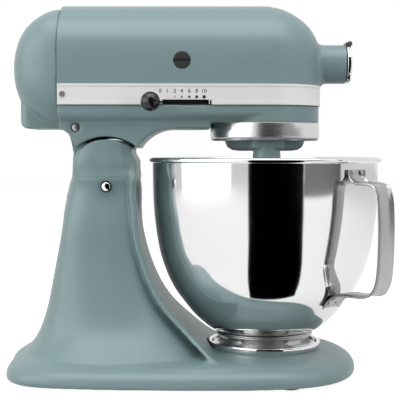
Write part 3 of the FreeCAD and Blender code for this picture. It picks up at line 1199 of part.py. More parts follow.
def bowl_handle():
    """A bowed strap between two tabs welded on the bowl's wall, drawn at azimuth 0."""
    low, high = 84.0, 191.0

    def wall_r(z):
        for (z0, r0), (z1, r1) in zip(BOWL_WALL, BOWL_WALL[1:]):
            if z0 <= z <= z1:
                return r0 + (r1 - r0) * (z - z0) / (z1 - z0)
        return BOWL_R

    path = [(wall_r(high) + 0.5, high + 8), (wall_r(high) + 1.0, high + 1), (wall_r(high) + 7, high - 4),
            (HANDLE_R - 12, high - 5), (HANDLE_R - 4, high - 10), (HANDLE_R - 0.5, high - 24),
            (HANDLE_R, (low + high) / 2), (HANDLE_R - 1.5, low + 22), (HANDLE_R - 6, low + 7),
            (HANDLE_R - 16, low + 0.5), (wall_r(low) + 14, low), (wall_r(low) + 6.5, low - 1.5),
            (wall_r(low - 6) + 1.6, low - 6), (wall_r(low - 14) + 1.2, low - 14)]
    curve = Part.BSplineCurve()
    curve.interpolate([V(r, 0, z) for r, z in path])
    first, last = curve.FirstParameter, curve.LastParameter
    sides = {1: [], -1: []}
    for i in range(HANDLE_POINTS + 1):
        u = first + (last - first) * i / HANDLE_POINTS
        across = curve.tangent(u)[0].cross(V(0, 1, 0))
        for side in sides:
            sides[side].append(curve.value(u) + across * (side * HANDLE_T / 2))
    ring = sides[1] + sides[-1][::-1]
    strap = Part.Face(Part.makePolygon(ring + ring[:1])).extrude(V(0, HANDLE_W, 0))
    strap.translate(V(0, -HANDLE_W / 2, 0))
    clear = revolve_z([(0, 30), (wall_r(30), 30)] + [(r + WELD_GAP, z) for z, r in BOWL_WALL] +
                      [(BOWL_R + WELD_GAP, 230), (0, 230)], x=0.0)
    strap = strap.cut(clear)
    strap.rotate(V(0, 0, 0), V(0, 0, 1), HANDLE_AZ)
    strap.translate(V(BOWL_X, 0, 0))
    return strap


NODES = {
    "pedestal_casting": pedestal_casting, "bottom_cover": bottom_cover, "rubber_feet": rubber_feet,
    "bowl_clamp_plate": bowl_clamp_plate, "clamp_plate_screws": clamp_plate_screws,
    "bottom_cover_screws": lambda: Part.makeCompound(
        [screw(x, y, FOOT_H + 0.25, 9.0, up=1.0, r=2.0, head_r=3.4, head_h=1.6) for x, y in COVER_SCREWS]),
    "beater_height_screw": beater_height_screw, "hinge_pin": hinge_pin,
    "lock_shaft": lock_shaft, "lock_lever": lock_lever, "lock_plunger": lock_plunger,
    "lock_spring": lock_spring,
    "motor_housing": motor_housing, "gearcase_casting": gearcase_casting, "rear_cover": rear_cover,
    "rear_cover_screw": rear_cover_screw, "cord_gland": cord_gland, "trim_band": trim_band,
    "trim_screws": trim_screws, "housing_screws": housing_screws, "drip_ring": drip_ring,
    "hub_sleeve": hub_sleeve, "hub_cover": hub_cover, "hub_cover_pin": hub_cover_pin,
    "attachment_knob": attachment_knob, "speed_lever": speed_lever, "speed_knob": speed_knob,
    "brush_caps": brush_caps, "brush_holders": brush_holders, "carbon_brushes": carbon_brushes,
    "brush_springs": brush_springs, "stator_core": stator_core, "field_coils": field_coils,
    "motor_bearings": motor_bearings, "bearing_brackets": bearing_brackets,
    "control_board": control_board, "shaft_bushings": shaft_bushings, "ring_gear": ring_gear,
    "armature_shaft": armature_shaft, "armature_core": armature_core,
    "armature_windings": armature_windings, "commutator": commutator, "cooling_fan": cooling_fan,
    "governor": governor, "worm_wheel": worm_wheel, "reduction_pinion": reduction_pinion,
    "centre_shaft": centre_shaft, "centre_gear": centre_gear, "centre_bevel_gear": centre_bevel_gear,
    "hub_drive_shaft": hub_drive_shaft, "planetary_carrier": planetary_carrier,
    "agitator_bush": agitator_bush, "agitator_shaft": agitator_shaft,
    "agitator_pinion": agitator_pinion, "agitator_cross_pin": agitator_cross_pin,
    "flat_beater": flat_beater,
    "bowl_shell": bowl_shell, "bowl_foot": bowl_foot, "bowl_handle": bowl_handle,
}

for name, make in NODES.items():
    write(name, make())
print(len(NODES), "nodes")
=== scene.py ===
# %% [markdown]
# A tilt-head stand mixer, piece by piece.
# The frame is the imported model: it fixes every size, place and joint. Each cell below either gives
# one of its nodes a finish, or puts a finer mesh in a node's place. The frame itself never moves.

import json
import math

import bmesh
import bpy
from mathutils import Matrix, Vector


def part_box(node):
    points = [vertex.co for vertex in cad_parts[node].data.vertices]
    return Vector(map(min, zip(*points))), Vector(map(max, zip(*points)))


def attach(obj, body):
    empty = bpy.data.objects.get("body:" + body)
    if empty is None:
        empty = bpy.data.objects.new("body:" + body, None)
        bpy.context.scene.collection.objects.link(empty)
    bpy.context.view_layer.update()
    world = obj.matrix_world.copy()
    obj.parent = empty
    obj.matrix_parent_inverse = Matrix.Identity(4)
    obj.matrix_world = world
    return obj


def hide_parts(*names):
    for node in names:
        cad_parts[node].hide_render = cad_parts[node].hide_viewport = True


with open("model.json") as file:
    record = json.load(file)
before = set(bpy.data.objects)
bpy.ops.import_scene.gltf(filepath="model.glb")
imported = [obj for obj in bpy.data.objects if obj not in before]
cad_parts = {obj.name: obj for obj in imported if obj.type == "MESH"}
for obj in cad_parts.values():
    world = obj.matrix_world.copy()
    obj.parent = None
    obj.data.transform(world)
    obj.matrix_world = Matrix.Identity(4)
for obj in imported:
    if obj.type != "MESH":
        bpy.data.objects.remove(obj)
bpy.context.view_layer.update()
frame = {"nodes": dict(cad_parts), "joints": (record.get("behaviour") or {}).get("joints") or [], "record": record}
nodes = frame["nodes"]
MM = 0.001

# %% [markdown]
# Many later positions come from the frame: the bowl's box gives its axis, and the joints give
# the hinge and the lock.

# %% Places read from the frame
def low(node):
    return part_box(node)[0]


def high(node):
    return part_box(node)[1]


def middle(node):
    lowest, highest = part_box(node)
    return (lowest + highest) / 2


BOWL_X = middle("bowl_foot").x
joint = {j["name"]: j for j in frame["joints"]}
HINGE = Vector(joint["head_tilt"]["pos_m"])
LOCK = Vector(joint["lock_turn"]["pos_m"])
print("bowl axis at x", round(BOWL_X, 4), "hinge at", tuple(round(v, 4) for v in HINGE))

# %% [markdown]
# A material is a node tree. The same handful of effects comes back in most finishes: fine grain,
# long brushed scratches, and colour that drifts a little over a surface. Each is a node group with
# named sockets, made once. Groups give out only colours, values and heights, and the shader stays
# in the material.

# %% Node group helpers
def new_group(name, inputs, outputs):
    """An empty shader group with float or colour sockets, its input node and its output node."""
    group = bpy.data.node_groups.new(name, "ShaderNodeTree")
    for label, kind, default in inputs:
        socket = group.interface.new_socket(label, in_out="INPUT", socket_type=kind)
        socket.default_value = default
    for label, kind in outputs:
        group.interface.new_socket(label, in_out="OUTPUT", socket_type=kind)
    start = group.nodes.new("NodeGroupInput")
    end = group.nodes.new("NodeGroupOutput")
    return group, start, end


def add_node(tree, kind, **values):
    """A node with its properties, and its sockets by name, set in one go."""
    node = tree.nodes.new(kind)
    for key, value in values.items():
        name = key.replace("_", " ")
        if name in node.inputs:
            node.inputs[name].default_value = value
        else:
            setattr(node, key, value)
    return node


FLOAT = "NodeSocketFloat"
COLOR = "NodeSocketColor"
print("helpers ready: new_group, add_node")

# %% [markdown]
# Grain is a fine noise, for powder coat, castings and moulded plastic. A second, wider noise makes
# the roughness wander between two values, as it does on any handled surface.

# %% Fine grain
grain, grain_in, grain_out = new_group(
    "fine_grain",
    [("Scale", FLOAT, 900.0), ("Roughness Low", FLOAT, 0.4), ("Roughness High", FLOAT, 0.5)],
    [("Height", FLOAT), ("Roughness", FLOAT)])
coords = add_node(grain, "ShaderNodeTexCoord")
noise = add_node(grain, "ShaderNodeTexNoise", Detail=3.0)
wide = add_node(grain, "ShaderNodeTexNoise", Scale=22.0, Detail=2.0)
spread = add_node(grain, "ShaderNodeMapRange")
grain.links.new(coords.outputs["Object"], noise.inputs["Vector"])
grain.links.new(grain_in.outputs["Scale"], noise.inputs["Scale"])
grain.links.new(coords.outputs["Object"], wide.inputs["Vector"])
grain.links.new(wide.outputs["Fac"], spread.inputs["Value"])
grain.links.new(grain_in.outputs["Roughness Low"], spread.inputs["To Min"])
grain.links.new(grain_in.outputs["Roughness High"], spread.inputs["To Max"])
grain.links.new(noise.outputs["Fac"], grain_out.inputs["Height"])
grain.links.new(spread.outputs["Result"], grain_out.inputs["Roughness"])
print("group", grain.name, "nodes", len(grain.nodes))

# %% [markdown]
# Drift lets a colour wander slightly between two near tones, so that no large surface is flat.

# %% Colour drift
MID_GREY = (0.5, 0.5, 0.5, 1)
drift, drift_in, drift_out = new_group(
    "colour_drift",
    [("Colour A", COLOR, MID_GREY), ("Colour B", COLOR, MID_GREY), ("Scale", FLOAT, 14.0)],
    [("Colour", COLOR)])
coords = add_node(drift, "ShaderNodeTexCoord")
noise = add_node(drift, "ShaderNodeTexNoise", Detail=4.0)
mix = add_node(drift, "ShaderNodeMix", data_type="RGBA")
drift.links.new(coords.outputs["Object"], noise.inputs["Vector"])
drift.links.new(drift_in.outputs["Scale"], noise.inputs["Scale"])
drift.links.new(noise.outputs["Fac"], mix.inputs["Factor"])
drift.links.new(drift_in.outputs["Colour A"], mix.inputs[6])
drift.links.new(drift_in.outputs["Colour B"], mix.inputs[7])
drift.links.new(mix.outputs[2], drift_out.inputs["Colour"])
print("group", drift.name, "nodes", len(drift.nodes))

# %% [markdown]
# Brushed metal has scratches far longer than they are wide. The piece's own coordinates are scaled
# by a different amount along each axis before the noise, which stretches it into lines.

# %% Brushed lines
brushed, brushed_in, brushed_out = new_group(
    "brushed_lines",
    [("Scale X", FLOAT, 6.0), ("Scale Y", FLOAT, 6.0), ("Scale Z", FLOAT, 2500.0),
     ("Roughness Low", FLOAT, 0.22), ("Roughness High", FLOAT, 0.4)],
    [("Height", FLOAT), ("Roughness", FLOAT)])
coords = add_node(brushed, "ShaderNodeTexCoord")
stretch = add_node(brushed, "ShaderNodeCombineXYZ")
scale = add_node(brushed, "ShaderNodeVectorMath", operation="MULTIPLY")
noise = add_node(brushed, "ShaderNodeTexNoise", Scale=1.0, Detail=4.0)
spread = add_node(brushed, "ShaderNodeMapRange")
for axis in "XYZ":
    brushed.links.new(brushed_in.outputs["Scale " + axis], stretch.inputs[axis])
brushed.links.new(coords.outputs["Object"], scale.inputs[0])
brushed.links.new(stretch.outputs["Vector"], scale.inputs[1])
brushed.links.new(scale.outputs["Vector"], noise.inputs["Vector"])
brushed.links.new(noise.outputs["Fac"], spread.inputs["Value"])
brushed.links.new(brushed_in.outputs["Roughness Low"], spread.inputs["To Min"])
brushed.links.new(brushed_in.outputs["Roughness High"], spread.inputs["To Max"])
brushed.links.new(noise.outputs["Fac"], brushed_out.inputs["Height"])
brushed.links.new(spread.outputs["Result"], brushed_out.inputs["Roughness"])
print("group", brushed.name, "nodes", len(brushed.nodes))


# %% [markdown]
# One function turns two near tones, a roughness range and a kind of texture into a finish. Values
# that are the same all over go straight on the shader's own sockets.

# %% Material maker
def srgb(r, g, b):
    """A display colour from 0 to 255 as the linear colour that shaders take."""
    def linear(c):
        c = c / 255.0
        return c / 12.92 if c <= 0.04045 else ((c + 0.055) / 1.055) ** 2.4
    return (linear(r), linear(g), linear(b), 1.0)


def make_material(name, tone, second=None, metallic=0.0, rough=(0.4, 0.5), grain_scale=900.0,
                  bump=0.05, lines=None, coat=0.0, coat_rough=0.1, drift_scale=14.0, depth=0.0002):
    """A Principled finish: two near tones, and either fine grain or brushed lines."""
    material = bpy.data.materials.new(name)
    material.use_nodes = True
    tree = material.node_tree
    shader = tree.nodes["Principled BSDF"]
    shader.inputs["Metallic"].default_value = metallic
    shader.inputs["Coat Weight"].default_value = coat
    shader.inputs["Coat Roughness"].default_value = coat_rough
    tint = tree.nodes.new("ShaderNodeGroup")
    tint.node_tree = drift
    tint.inputs["Colour A"].default_value = tone
    tint.inputs["Colour B"].default_value = second or tone
    tint.inputs["Scale"].default_value = drift_scale
    tree.links.new(tint.outputs["Colour"], shader.inputs["Base Color"])
    texture = tree.nodes.new("ShaderNodeGroup")
    texture.node_tree = brushed if lines else grain
    if lines:
        for axis, value in zip("XYZ", lines):
            texture.inputs["Scale " + axis].default_value = value
    else:
        texture.inputs["Scale"].default_value = grain_scale
    texture.inputs["Roughness Low"].default_value = rough[0]
    texture.inputs["Roughness High"].default_value = rough[1]
    tree.links.new(texture.outputs["Roughness"], shader.inputs["Roughness"])
    if bump:
        relief = add_node(tree, "ShaderNodeBump", Strength=bump, Distance=depth)
        tree.links.new(texture.outputs["Height"], relief.inputs["Height"])
        tree.links.new(relief.outputs["Normal"], shader.inputs["Normal"])
    return material


print("white in linear colour:", srgb(255, 255, 255)[:3])

# %% [markdown]
# The body is a matte powder coat: a blue grey green with a soft, wide sheen and a grain so fine
# that it only softens the highlights. The metals differ in how they are finished: plated parts are
# mirror smooth, the band is brushed lengthwise, the bowl is polished with faint turned lines, and
# its handle and foot have a satin finish of their own.

# %% The finishes
finish = {
    "body_paint": make_material("aqua_grey_powder_coat", srgb(126, 149, 151), srgb(122, 146, 148),
                                rough=(0.34, 0.39), grain_scale=1400.0, bump=0.12, depth=0.00012),
    "chrome_trim": make_material("polished_chrome", (0.82, 0.82, 0.83, 1), (0.78, 0.78, 0.79, 1),
                                 metallic=1.0, rough=(0.05, 0.09), bump=0.0),
    "satin_chrome": make_material("satin_chrome", (0.74, 0.73, 0.73, 1), (0.70, 0.69, 0.69, 1),
                                  metallic=1.0, rough=(0.24, 0.31), lines=(8.0, 8.0, 1800.0), bump=0.01,
                                  depth=0.00002),
    "handle_steel": make_material("satin_handle_steel", (0.46, 0.46, 0.46, 1), (0.40, 0.40, 0.40, 1),
                                  metallic=1.0, rough=(0.20, 0.28), bump=0.0),
    "foot_steel": make_material("satin_foot_steel", (0.66, 0.66, 0.65, 1), (0.58, 0.58, 0.57, 1),
                                metallic=1.0, rough=(0.30, 0.40), lines=(8.0, 8.0, 1500.0), bump=0.01,
                                depth=0.00002),
    "brushed_band": make_material("brushed_aluminium_band", srgb(244, 244, 243), srgb(238, 238, 238),
                                  metallic=0.2, rough=(0.40, 0.48), lines=(8.0, 8.0, 2600.0), bump=0.06,
                                  depth=0.00005),
    "bowl_steel": make_material("polished_bowl_steel", (0.80, 0.80, 0.80, 1), (0.76, 0.76, 0.76, 1),
                                metallic=1.0, rough=(0.05, 0.10), lines=(10.0, 10.0, 1400.0), bump=0.01,
                                depth=0.00002),
    "machined_steel": make_material("machined_steel", (0.50, 0.50, 0.51, 1), (0.42, 0.42, 0.43, 1),
                                    metallic=1.0, rough=(0.25, 0.40), grain_scale=500.0, bump=0.05),
    "black_gloss": make_material("black_gloss_plastic", (0.006, 0.006, 0.007, 1),
                                 (0.010, 0.010, 0.011, 1), rough=(0.08, 0.13), grain_scale=300.0,
                                 bump=0.0),
    "dark_plastic": make_material("dark_moulded_plastic", (0.020, 0.022, 0.024, 1),
                                  (0.026, 0.028, 0.030, 1), rough=(0.42, 0.55), grain_scale=1200.0,
                                  bump=0.15),
    "rubber_grey": make_material("foot_rubber", (0.030, 0.030, 0.031, 1), (0.040, 0.040, 0.041, 1),
                                 rough=(0.75, 0.88), grain_scale=700.0, bump=0.25),
    "cast_aluminium": make_material("cast_aluminium", (0.55, 0.55, 0.56, 1), (0.45, 0.45, 0.46, 1),
                                    metallic=1.0, rough=(0.45, 0.6), grain_scale=450.0, bump=0.3),
    "copper_wire": make_material("enamelled_copper", (0.42, 0.14, 0.05, 1), (0.35, 0.11, 0.04, 1),
                                 metallic=1.0, rough=(0.25, 0.4), lines=(1800.0, 8.0, 8.0), bump=0.3),
    "gear_bronze": make_material("gear_bronze", (0.50, 0.33, 0.12, 1), (0.42, 0.27, 0.10, 1),
                                 metallic=1.0, rough=(0.25, 0.4), grain_scale=600.0, bump=0.05),
    "carbon": make_material("brush_carbon", (0.02, 0.02, 0.02, 1), (0.03, 0.03, 0.03, 1),
                            rough=(0.55, 0.7), grain_scale=900.0, bump=0.2),
    "coated_beater": make_material("burnished_beater", (0.62, 0.62, 0.62, 1), (0.56, 0.56, 0.56, 1),
                                   metallic=1.0, rough=(0.32, 0.45), grain_scale=500.0, bump=0.15),
    "lamination_steel": make_material("lamination_steel", (0.16, 0.16, 0.17, 1), (0.12, 0.12, 0.12, 1),
                                      metallic=1.0, rough=(0.4, 0.6), lines=(2200.0, 8.0, 8.0), bump=0.4),
}
slot_of = {s["node"]: s["material_slot"] for s in frame["record"]["subparts"]}
for name, node in nodes.items():
    node.data.materials.clear()
    node.data.materials.append(finish[slot_of[name]])
print("finishes:", len(finish))


# %% [markdown]
# New pieces all end the same way: a bmesh becomes a mesh at the origin, gets smooth shading with
# sharp edges kept by angle, one material, and a body to ride on.

# %% Finishing helper
def to_piece(name, bm, body, slot, replaced=(), angle=40.0, recalc=True, look=None):
    """Turns a bmesh into a finished piece that rides on a body and may stand for CAD nodes."""
    if recalc:
        bmesh.ops.remove_doubles(bm, verts=bm.verts[:], dist=1e-6)
        bmesh.ops.recalc_face_normals(bm, faces=bm.faces[:])
    mesh = bpy.data.meshes.new(name)
    bm.to_mesh(mesh)
    bm.free()
    piece = bpy.data.objects.new(name, mesh)
    bpy.context.scene.collection.objects.link(piece)
    mesh.shade_smooth()
    mesh.set_sharp_from_angle(angle=math.radians(angle))
    mesh.materials.append(finish[look or slot])
    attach(piece, body)
    if replaced:
        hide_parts(*replaced)
    print(name, "faces", len(mesh.polygons))
    return piece


print("helper ready: to_piece")

# %% [markdown]
# The castings have soft edges everywhere, because sand and paint never leave a sharp one. The CAD
# solid has the right form with hard edges. A voxel remesh of its copy joins every face into one
# skin, and a few passes of smoothing round each edge by about the radius of the real fillets.

# %% Softened castings
def softened(name, source, body, slot, voxel, passes, angle=60.0):
    """A copy of a CAD node with every edge rounded, in place of the node."""
    copy = bmesh.new()
    copy.from_mesh(nodes[source].data)
    bmesh.ops.remove_doubles(copy, verts=copy.verts[:], dist=1e-6)
    mesh = bpy.data.meshes.new(name + "_form")
    copy.to_mesh(mesh)
    copy.free()
    form = bpy.data.objects.new(name + "_form", mesh)
    bpy.context.scene.collection.objects.link(form)
    remesh = form.modifiers.new("skin", "REMESH")
    remesh.mode = "VOXEL"
    remesh.voxel_size = voxel
    smooth = form.modifiers.new("soft", "SMOOTH")
    smooth.factor = 0.5
    smooth.iterations = passes
    bpy.context.view_layer.update()
    result = bpy.data.meshes.new_from_object(form.evaluated_get(bpy.context.evaluated_depsgraph_get()))
    bpy.data.objects.remove(form)
    bm = bmesh.new()
    bm.from_mesh(result)
    bpy.data.meshes.remove(result)
    return to_piece(name, bm, body, slot, replaced=(source,), angle=angle, recalc=False)


pedestal = softened("pedestal", "pedestal_casting", "pedestal", "body_paint", 1.7 * MM, 8)
softened("gearcase", "gearcase_casting", "head", "body_paint", 1.3 * MM, 7)
softened("rear_end_cover", "rear_cover", "head", "body_paint", 1.2 * MM, 5)
softened("planetary_cup", "planetary_carrier", "planetary", "body_paint", 0.8 * MM, 9)
softened("beater", "flat_beater", "agitator", "coated_beater", 0.9 * MM, 4)
softened("hub_lid", "hub_cover", "hub_cover", "chrome_trim", 0.3 * MM, 3, angle=35.0)
softened("thumb_screw", "attachment_knob", "attachment_knob", "black_gloss", 0.5 * MM, 3)
softened("locking_lever", "lock_lever", "lock_lever", "black_gloss", 0.6 * MM, 4)


# %% [markdown]
# The CAD column swells and narrows a little between its upper sections. The skin is drawn back to
# straight edges there: each thin slice is scaled about its middle to the size that a straight line
# from below the swelling to the dome gives.

# %% Straight column
COLUMN_LOW, COLUMN_HIGH = 149.6, 232.0   # heights between which the edges run straight
LOW_SECTION = (-127.9, -54.6, 48.6)      # rear X, front X and half width at the lower height
HIGH_SECTION = (-109.6, -56.0, 46.2)     # and at the upper one
SLICE = 2.5
FLANK_NEAR, FLANK_FAR = 22.0, 34.0       # outside the tongue, inside the rounded corners
FADE_IN = 6.0
DOME_START, FADE_OUT = 214.0, 8.0        # the dome's own curve is left alone


def clamped(t):
    return max(0.0, min(1.0, t))


def mixed(first, second, t):
    return [a + (b - a) * t for a, b in zip(first, second)]


slices = {}
for v in pedestal.data.vertices:
    x, y, z = v.co / MM
    if COLUMN_LOW - 2 * SLICE < z < COLUMN_HIGH + 2 * SLICE:
        slices.setdefault(round(z / SLICE), []).append((x, abs(y)))
measured = {}
for key, points in slices.items():
    flank = [x for x, y in points if FLANK_NEAR < y < FLANK_FAR]
    measured[key] = (min(flank), max(flank), max(y for x, y in points)) if flank else None
worst = 0.0
for v in pedestal.data.vertices:
    x, y, z = v.co / MM
    place = z / SLICE
    under, over = measured.get(math.floor(place)), measured.get(math.floor(place) + 1)
    if not (COLUMN_LOW < z < COLUMN_HIGH and under and over):
        continue
    rear, front, half = mixed(under, over, place - math.floor(place))
    to_rear, to_front, to_half = mixed(LOW_SECTION, HIGH_SECTION,
                                       (z - COLUMN_LOW) / (COLUMN_HIGH - COLUMN_LOW))
    fade = clamped((z - COLUMN_LOW) / FADE_IN)
    along = fade * clamped((DOME_START - z) / FADE_OUT)
    new_x = to_rear + (x - rear) * (to_front - to_rear) / (front - rear)
    new_y = y * min(1.0, to_half / half)
    worst = max(worst, fade * abs(new_y - y))
    v.co = Vector((x + (new_x - x) * along, y + (new_y - y) * fade, z)) * MM
print("column drawn in by up to", round(worst, 1), "mm")

# %% [markdown]
# Most of the bright parts were spun or turned: bowl, foot, clamp plate, drip ring, knob. Such a
# part is one profile carried round an axis, so one helper does them all. A curve through a few
# points gives the profile, and a full spin closes on itself with its last ring merged.

# %% Turning helper
def smooth_line(points, steps=5):
    """A Catmull-Rom curve through the points."""
    ends = [points[0]] + list(points) + [points[-1]]
    line = []
    for a, b, c, d in zip(ends, ends[1:], ends[2:], ends[3:]):
        for i in range(steps):
            t = i / steps
            line.append(tuple(0.5 * (2 * q + (r - p) * t + (2 * p - 5 * q + 4 * r - s) * t ** 2
                                     + (3 * q - p - 3 * r + s) * t ** 3)
                              for p, q, r, s in zip(a, b, c, d)))
    return line + [points[-1]]


def arc(centre, radius, first, last, steps=8):
    """Points on an arc in (radius, height), from one angle in degrees to another."""
    angles = [math.radians(first + (last - first) * i / steps) for i in range(steps + 1)]
    return [(centre[0] + radius * math.cos(a), centre[1] + radius * math.sin(a)) for a in angles]


def turned(profile, place=(0, 0, 0), axis=(0, 0, 1), steps=128, sweep=360.0, start=0.0, closed=False):
    """A profile in millimetres, (radius, height), spun about an axis through place."""
    bm = bmesh.new()
    verts = [bm.verts.new((r * MM, 0.0, z * MM)) for r, z in profile]
    edges = [bm.edges.new(pair) for pair in zip(verts, verts[1:])]
    full = sweep > 359.0
    if closed:
        edges.append(bm.edges.new((verts[-1], verts[0])))
    if not full:
        edges = bmesh.ops.contextual_create(bm, geom=edges)["faces"] + edges
    bmesh.ops.spin(bm, geom=verts + edges, cent=(0, 0, 0), axis=(0, 0, 1), dvec=(0, 0, 0),
                   angle=math.radians(sweep), steps=steps, use_merge=full, use_duplicate=False)
    turn = Vector((0, 0, 1)).rotation_difference(Vector(axis)).to_matrix()
    first = Matrix.Rotation(math.radians(start), 3, "Z")
    bmesh.ops.rotate(bm, verts=bm.verts[:], cent=(0, 0, 0), matrix=turn @ first)
    bmesh.ops.translate(bm, verts=bm.verts[:], vec=Vector(place))
    return bm


def joined(*parts):
    """Several bmeshes as one."""
    whole = bmesh.new()
    for bm in parts:
        bmesh.ops.recalc_face_normals(bm, faces=bm.faces[:])
        mesh = bpy.data.meshes.new("part")
        bm.to_mesh(mesh)
        bm.free()
        whole.from_mesh(mesh)
        bpy.data.meshes.remove(mesh)
    return whole


BOWL_AXIS = (BOWL_X, 0.0, 0.0)
print("helpers ready: smooth_line, arc, turned, joined")

# %% [markdown]
# The bowl is spun from one sheet and polished. Its wall is 1 mm thick and rolled outwards into a
# bead at the rim. A lathe profile of the outside, the bead and the inside gives the whole bowl as a
# closed skin. 192 steps keep the mirror-smooth wall free of facets in its reflections.

# %% Mixing bowl
rim_z = high("bowl_shell").z / MM - 2.5
wall = [(46.5, 40.4), (54.7, 44.2), (68.3, 55.9), (78.1, 67.7), (86.9, 79.4), (93.4, 91.1),
        (98.2, 102.8), (102.0, 114.4), (104.6, 126.2), (107.3, 143.7), (109.3, 167.0),
        (110.2, rim_z - 2.4)]
outside = [(0.0, 40.0), (30.0, 40.0), (42.0, 40.02)] + smooth_line(wall, 7)
bead = arc((110.8, rim_z), 2.5, -100, 225, 22)
inside = [(r - 1.0, z + 0.75) for r, z in reversed(smooth_line(wall[:-1], 7))]
bowl_profile = outside + bead + inside + [(42.0, 41.0), (0.0, 41.0)]
to_piece("mixing_bowl", turned(bowl_profile, BOWL_AXIS, steps=192), "bowl", "bowl_steel",
         replaced=("bowl_shell",), angle=50.0)

# %% [markdown]
# The foot is a drawn ring under the bowl, waisted in the middle, with a thin collar where it is
# welded on. Four short lugs at its lower edge turn under the tabs of the clamp plate. The lugs are
# the same kind of profile, spun through a few degrees only.

# %% Bowl foot
BAYONET = (30, 120, 210, 300)
foot_line = smooth_line([(44.7, 26.0), (44.5, 28.5), (44.4, 31.5), (44.9, 34.4), (46.4, 36.4)], 4)
collar = arc((46.9, 37.5), 0.75, -90, 90, 5)
shoulder = [(46.3, 38.6)] + arc((46.4, 39.2), 0.6, -60, 90, 4)
foot_profile = ([(43.6, 25.9), (44.4, 25.8)] + foot_line + collar + shoulder
                + [(40.0, 39.9), (40.0, 38.8), (43.4, 37.4), (43.4, 27.0)])
foot = turned(foot_profile, BOWL_AXIS, steps=144, closed=True)
lugs = [turned([(44.0, 26.4), (47.2, 26.4), (47.2, 28.3), (44.0, 28.3)], BOWL_AXIS, steps=6,
               sweep=14.0, start=a + 5.0, closed=True) for a in BAYONET]
to_piece("bowl_foot_ring", joined(foot, *lugs), "bowl", "bowl_steel", replaced=("bowl_foot",),
         angle=45.0, look="foot_steel")

# %% [markdown]
# The clamp plate sits in the base and holds the bowl. It is pressed from sheet: flat in the middle,
# with a rolled rim and four tabs that reach inwards over the lugs.

# %% Clamp plate
plate_z = low("bowl_clamp_plate").z / MM
rolled = arc((53.2, plate_z + 5.2), 1.8, 180, 0, 10)
plate_profile = ([(6.0, plate_z), (6.0, plate_z + 2.0), (49.6, plate_z + 2.0)]
                 + arc((49.6, plate_z + 3.8), 1.8, -90, 0, 5) + rolled
                 + [(55.0, plate_z + 1.0), (54.4, plate_z)])
plate = turned(plate_profile, BOWL_AXIS, steps=144, closed=True)
tabs = [turned([(45.5, plate_z + 5.7), (52.0, plate_z + 5.7), (52.4, plate_z + 6.8),
                (46.2, plate_z + 7.0), (45.5, plate_z + 6.6)], BOWL_AXIS, steps=10, sweep=24.0,
               start=a, closed=True) for a in BAYONET]
to_piece("clamp_plate", joined(plate, *tabs), "pedestal", "chrome_trim",
         replaced=("bowl_clamp_plate",), angle=45.0)

# %% [markdown]
# The handle is one strap of steel bent round, with its two long edges raised, and its flat ends
# spot welded to the bowl. Its side line starts at the bowl's wall, runs out, down and back in.

# %% Side line of the handle
HANDLE_TURN = -45.0
HANDLE_OUT = 144.0
HANDLE_HALF_W = 12.0
STRAP_T = 1.5


def wall_radius(z):
    """Outer radius of the bowl at a height, in millimetres."""
    for (r0, z0), (r1, z1) in zip(wall, wall[1:]):
        if z0 <= z <= z1:
            return r0 + (r1 - r0) * (z - z0) / (z1 - z0)
    return wall[-1][0]


top, foot_z = 191.0, 84.0
handle_points = [
    (wall_radius(top + 7) + 1.5, top + 8), (wall_radius(top) + 2.0, top + 1.5),
    (wall_radius(top) + 5.5, top - 3), (wall_radius(top) + 11, top - 4.5), (HANDLE_OUT - 12, top - 5),
    (HANDLE_OUT - 4.5, top - 9), (HANDLE_OUT - 1.0, top - 22), (HANDLE_OUT, (top + foot_z) / 2),
    (HANDLE_OUT - 1.6, foot_z + 22), (HANDLE_OUT - 6, foot_z + 7.5), (HANDLE_OUT - 15, foot_z + 1.2),
    (wall_radius(foot_z) + 14, foot_z + 0.4), (wall_radius(foot_z) + 6.5, foot_z - 1.2),
    (wall_radius(foot_z - 6) + 2.6, foot_z - 6), (wall_radius(foot_z - 14) + 2.2, foot_z - 14)]
line = smooth_line(handle_points, 8)
print("points on the side line:", len(line))


# %% [markdown]
# Six copies of the line, from one edge of the strap to the other, are bridged into a shallow
# channel. Solidify gives it the sheet's thickness, a bevel breaks its edges, and four small domes
# stand for the spot welds.

# %% Bowl handle
def shifted(points, amount):
    """The line moved sideways, away from the hand."""
    out = []
    for i, point in enumerate(points):
        before = points[max(i - 1, 0)]
        after = points[min(i + 1, len(points) - 1)]
        run = Vector((after[0] - before[0], after[1] - before[1])).normalized()
        out.append((point[0] - run.y * amount, point[1] + run.x * amount))
    return out


strap = bmesh.new()
rows = []
for y, lift in ((-HANDLE_HALF_W, 1.5), (-10.6, 0.9), (-9.4, 0.0), (9.4, 0.0), (10.6, 0.9),
                (HANDLE_HALF_W, 1.5)):
    verts = [strap.verts.new((r * MM, y * MM, z * MM)) for r, z in shifted(line, lift)]
    rows.append([strap.edges.new(pair) for pair in zip(verts, verts[1:])])
for one, other in zip(rows, rows[1:]):
    bmesh.ops.bridge_loops(strap, edges=one + other)
bmesh.ops.recalc_face_normals(strap, faces=strap.faces[:])
bmesh.ops.solidify(strap, geom=strap.faces[:], thickness=STRAP_T * MM)
bmesh.ops.recalc_face_normals(strap, faces=strap.faces[:])
border = [e for e in strap.edges if len(e.link_faces) == 2 and e.calc_face_angle(0.0) > 1.2]
bmesh.ops.bevel(strap, geom=border, offset=0.45 * MM, segments=3, profile=0.5, material=-1,
                affect="EDGES", clamp_overlap=True)
weld_dots = []
for z, out in ((top + 5.2, 2.6), (foot_z - 10.5, 3.1)):
    for y in (-6.0, 6.0):
        at = ((wall_radius(z) + out) * MM, y * MM, z * MM)
        weld_dots.append(turned([(0.0, 0.5), (1.6, 0.45), (2.1, 0.0)], at, axis=(1, 0, 0), steps=20))
handle = joined(strap, *weld_dots)
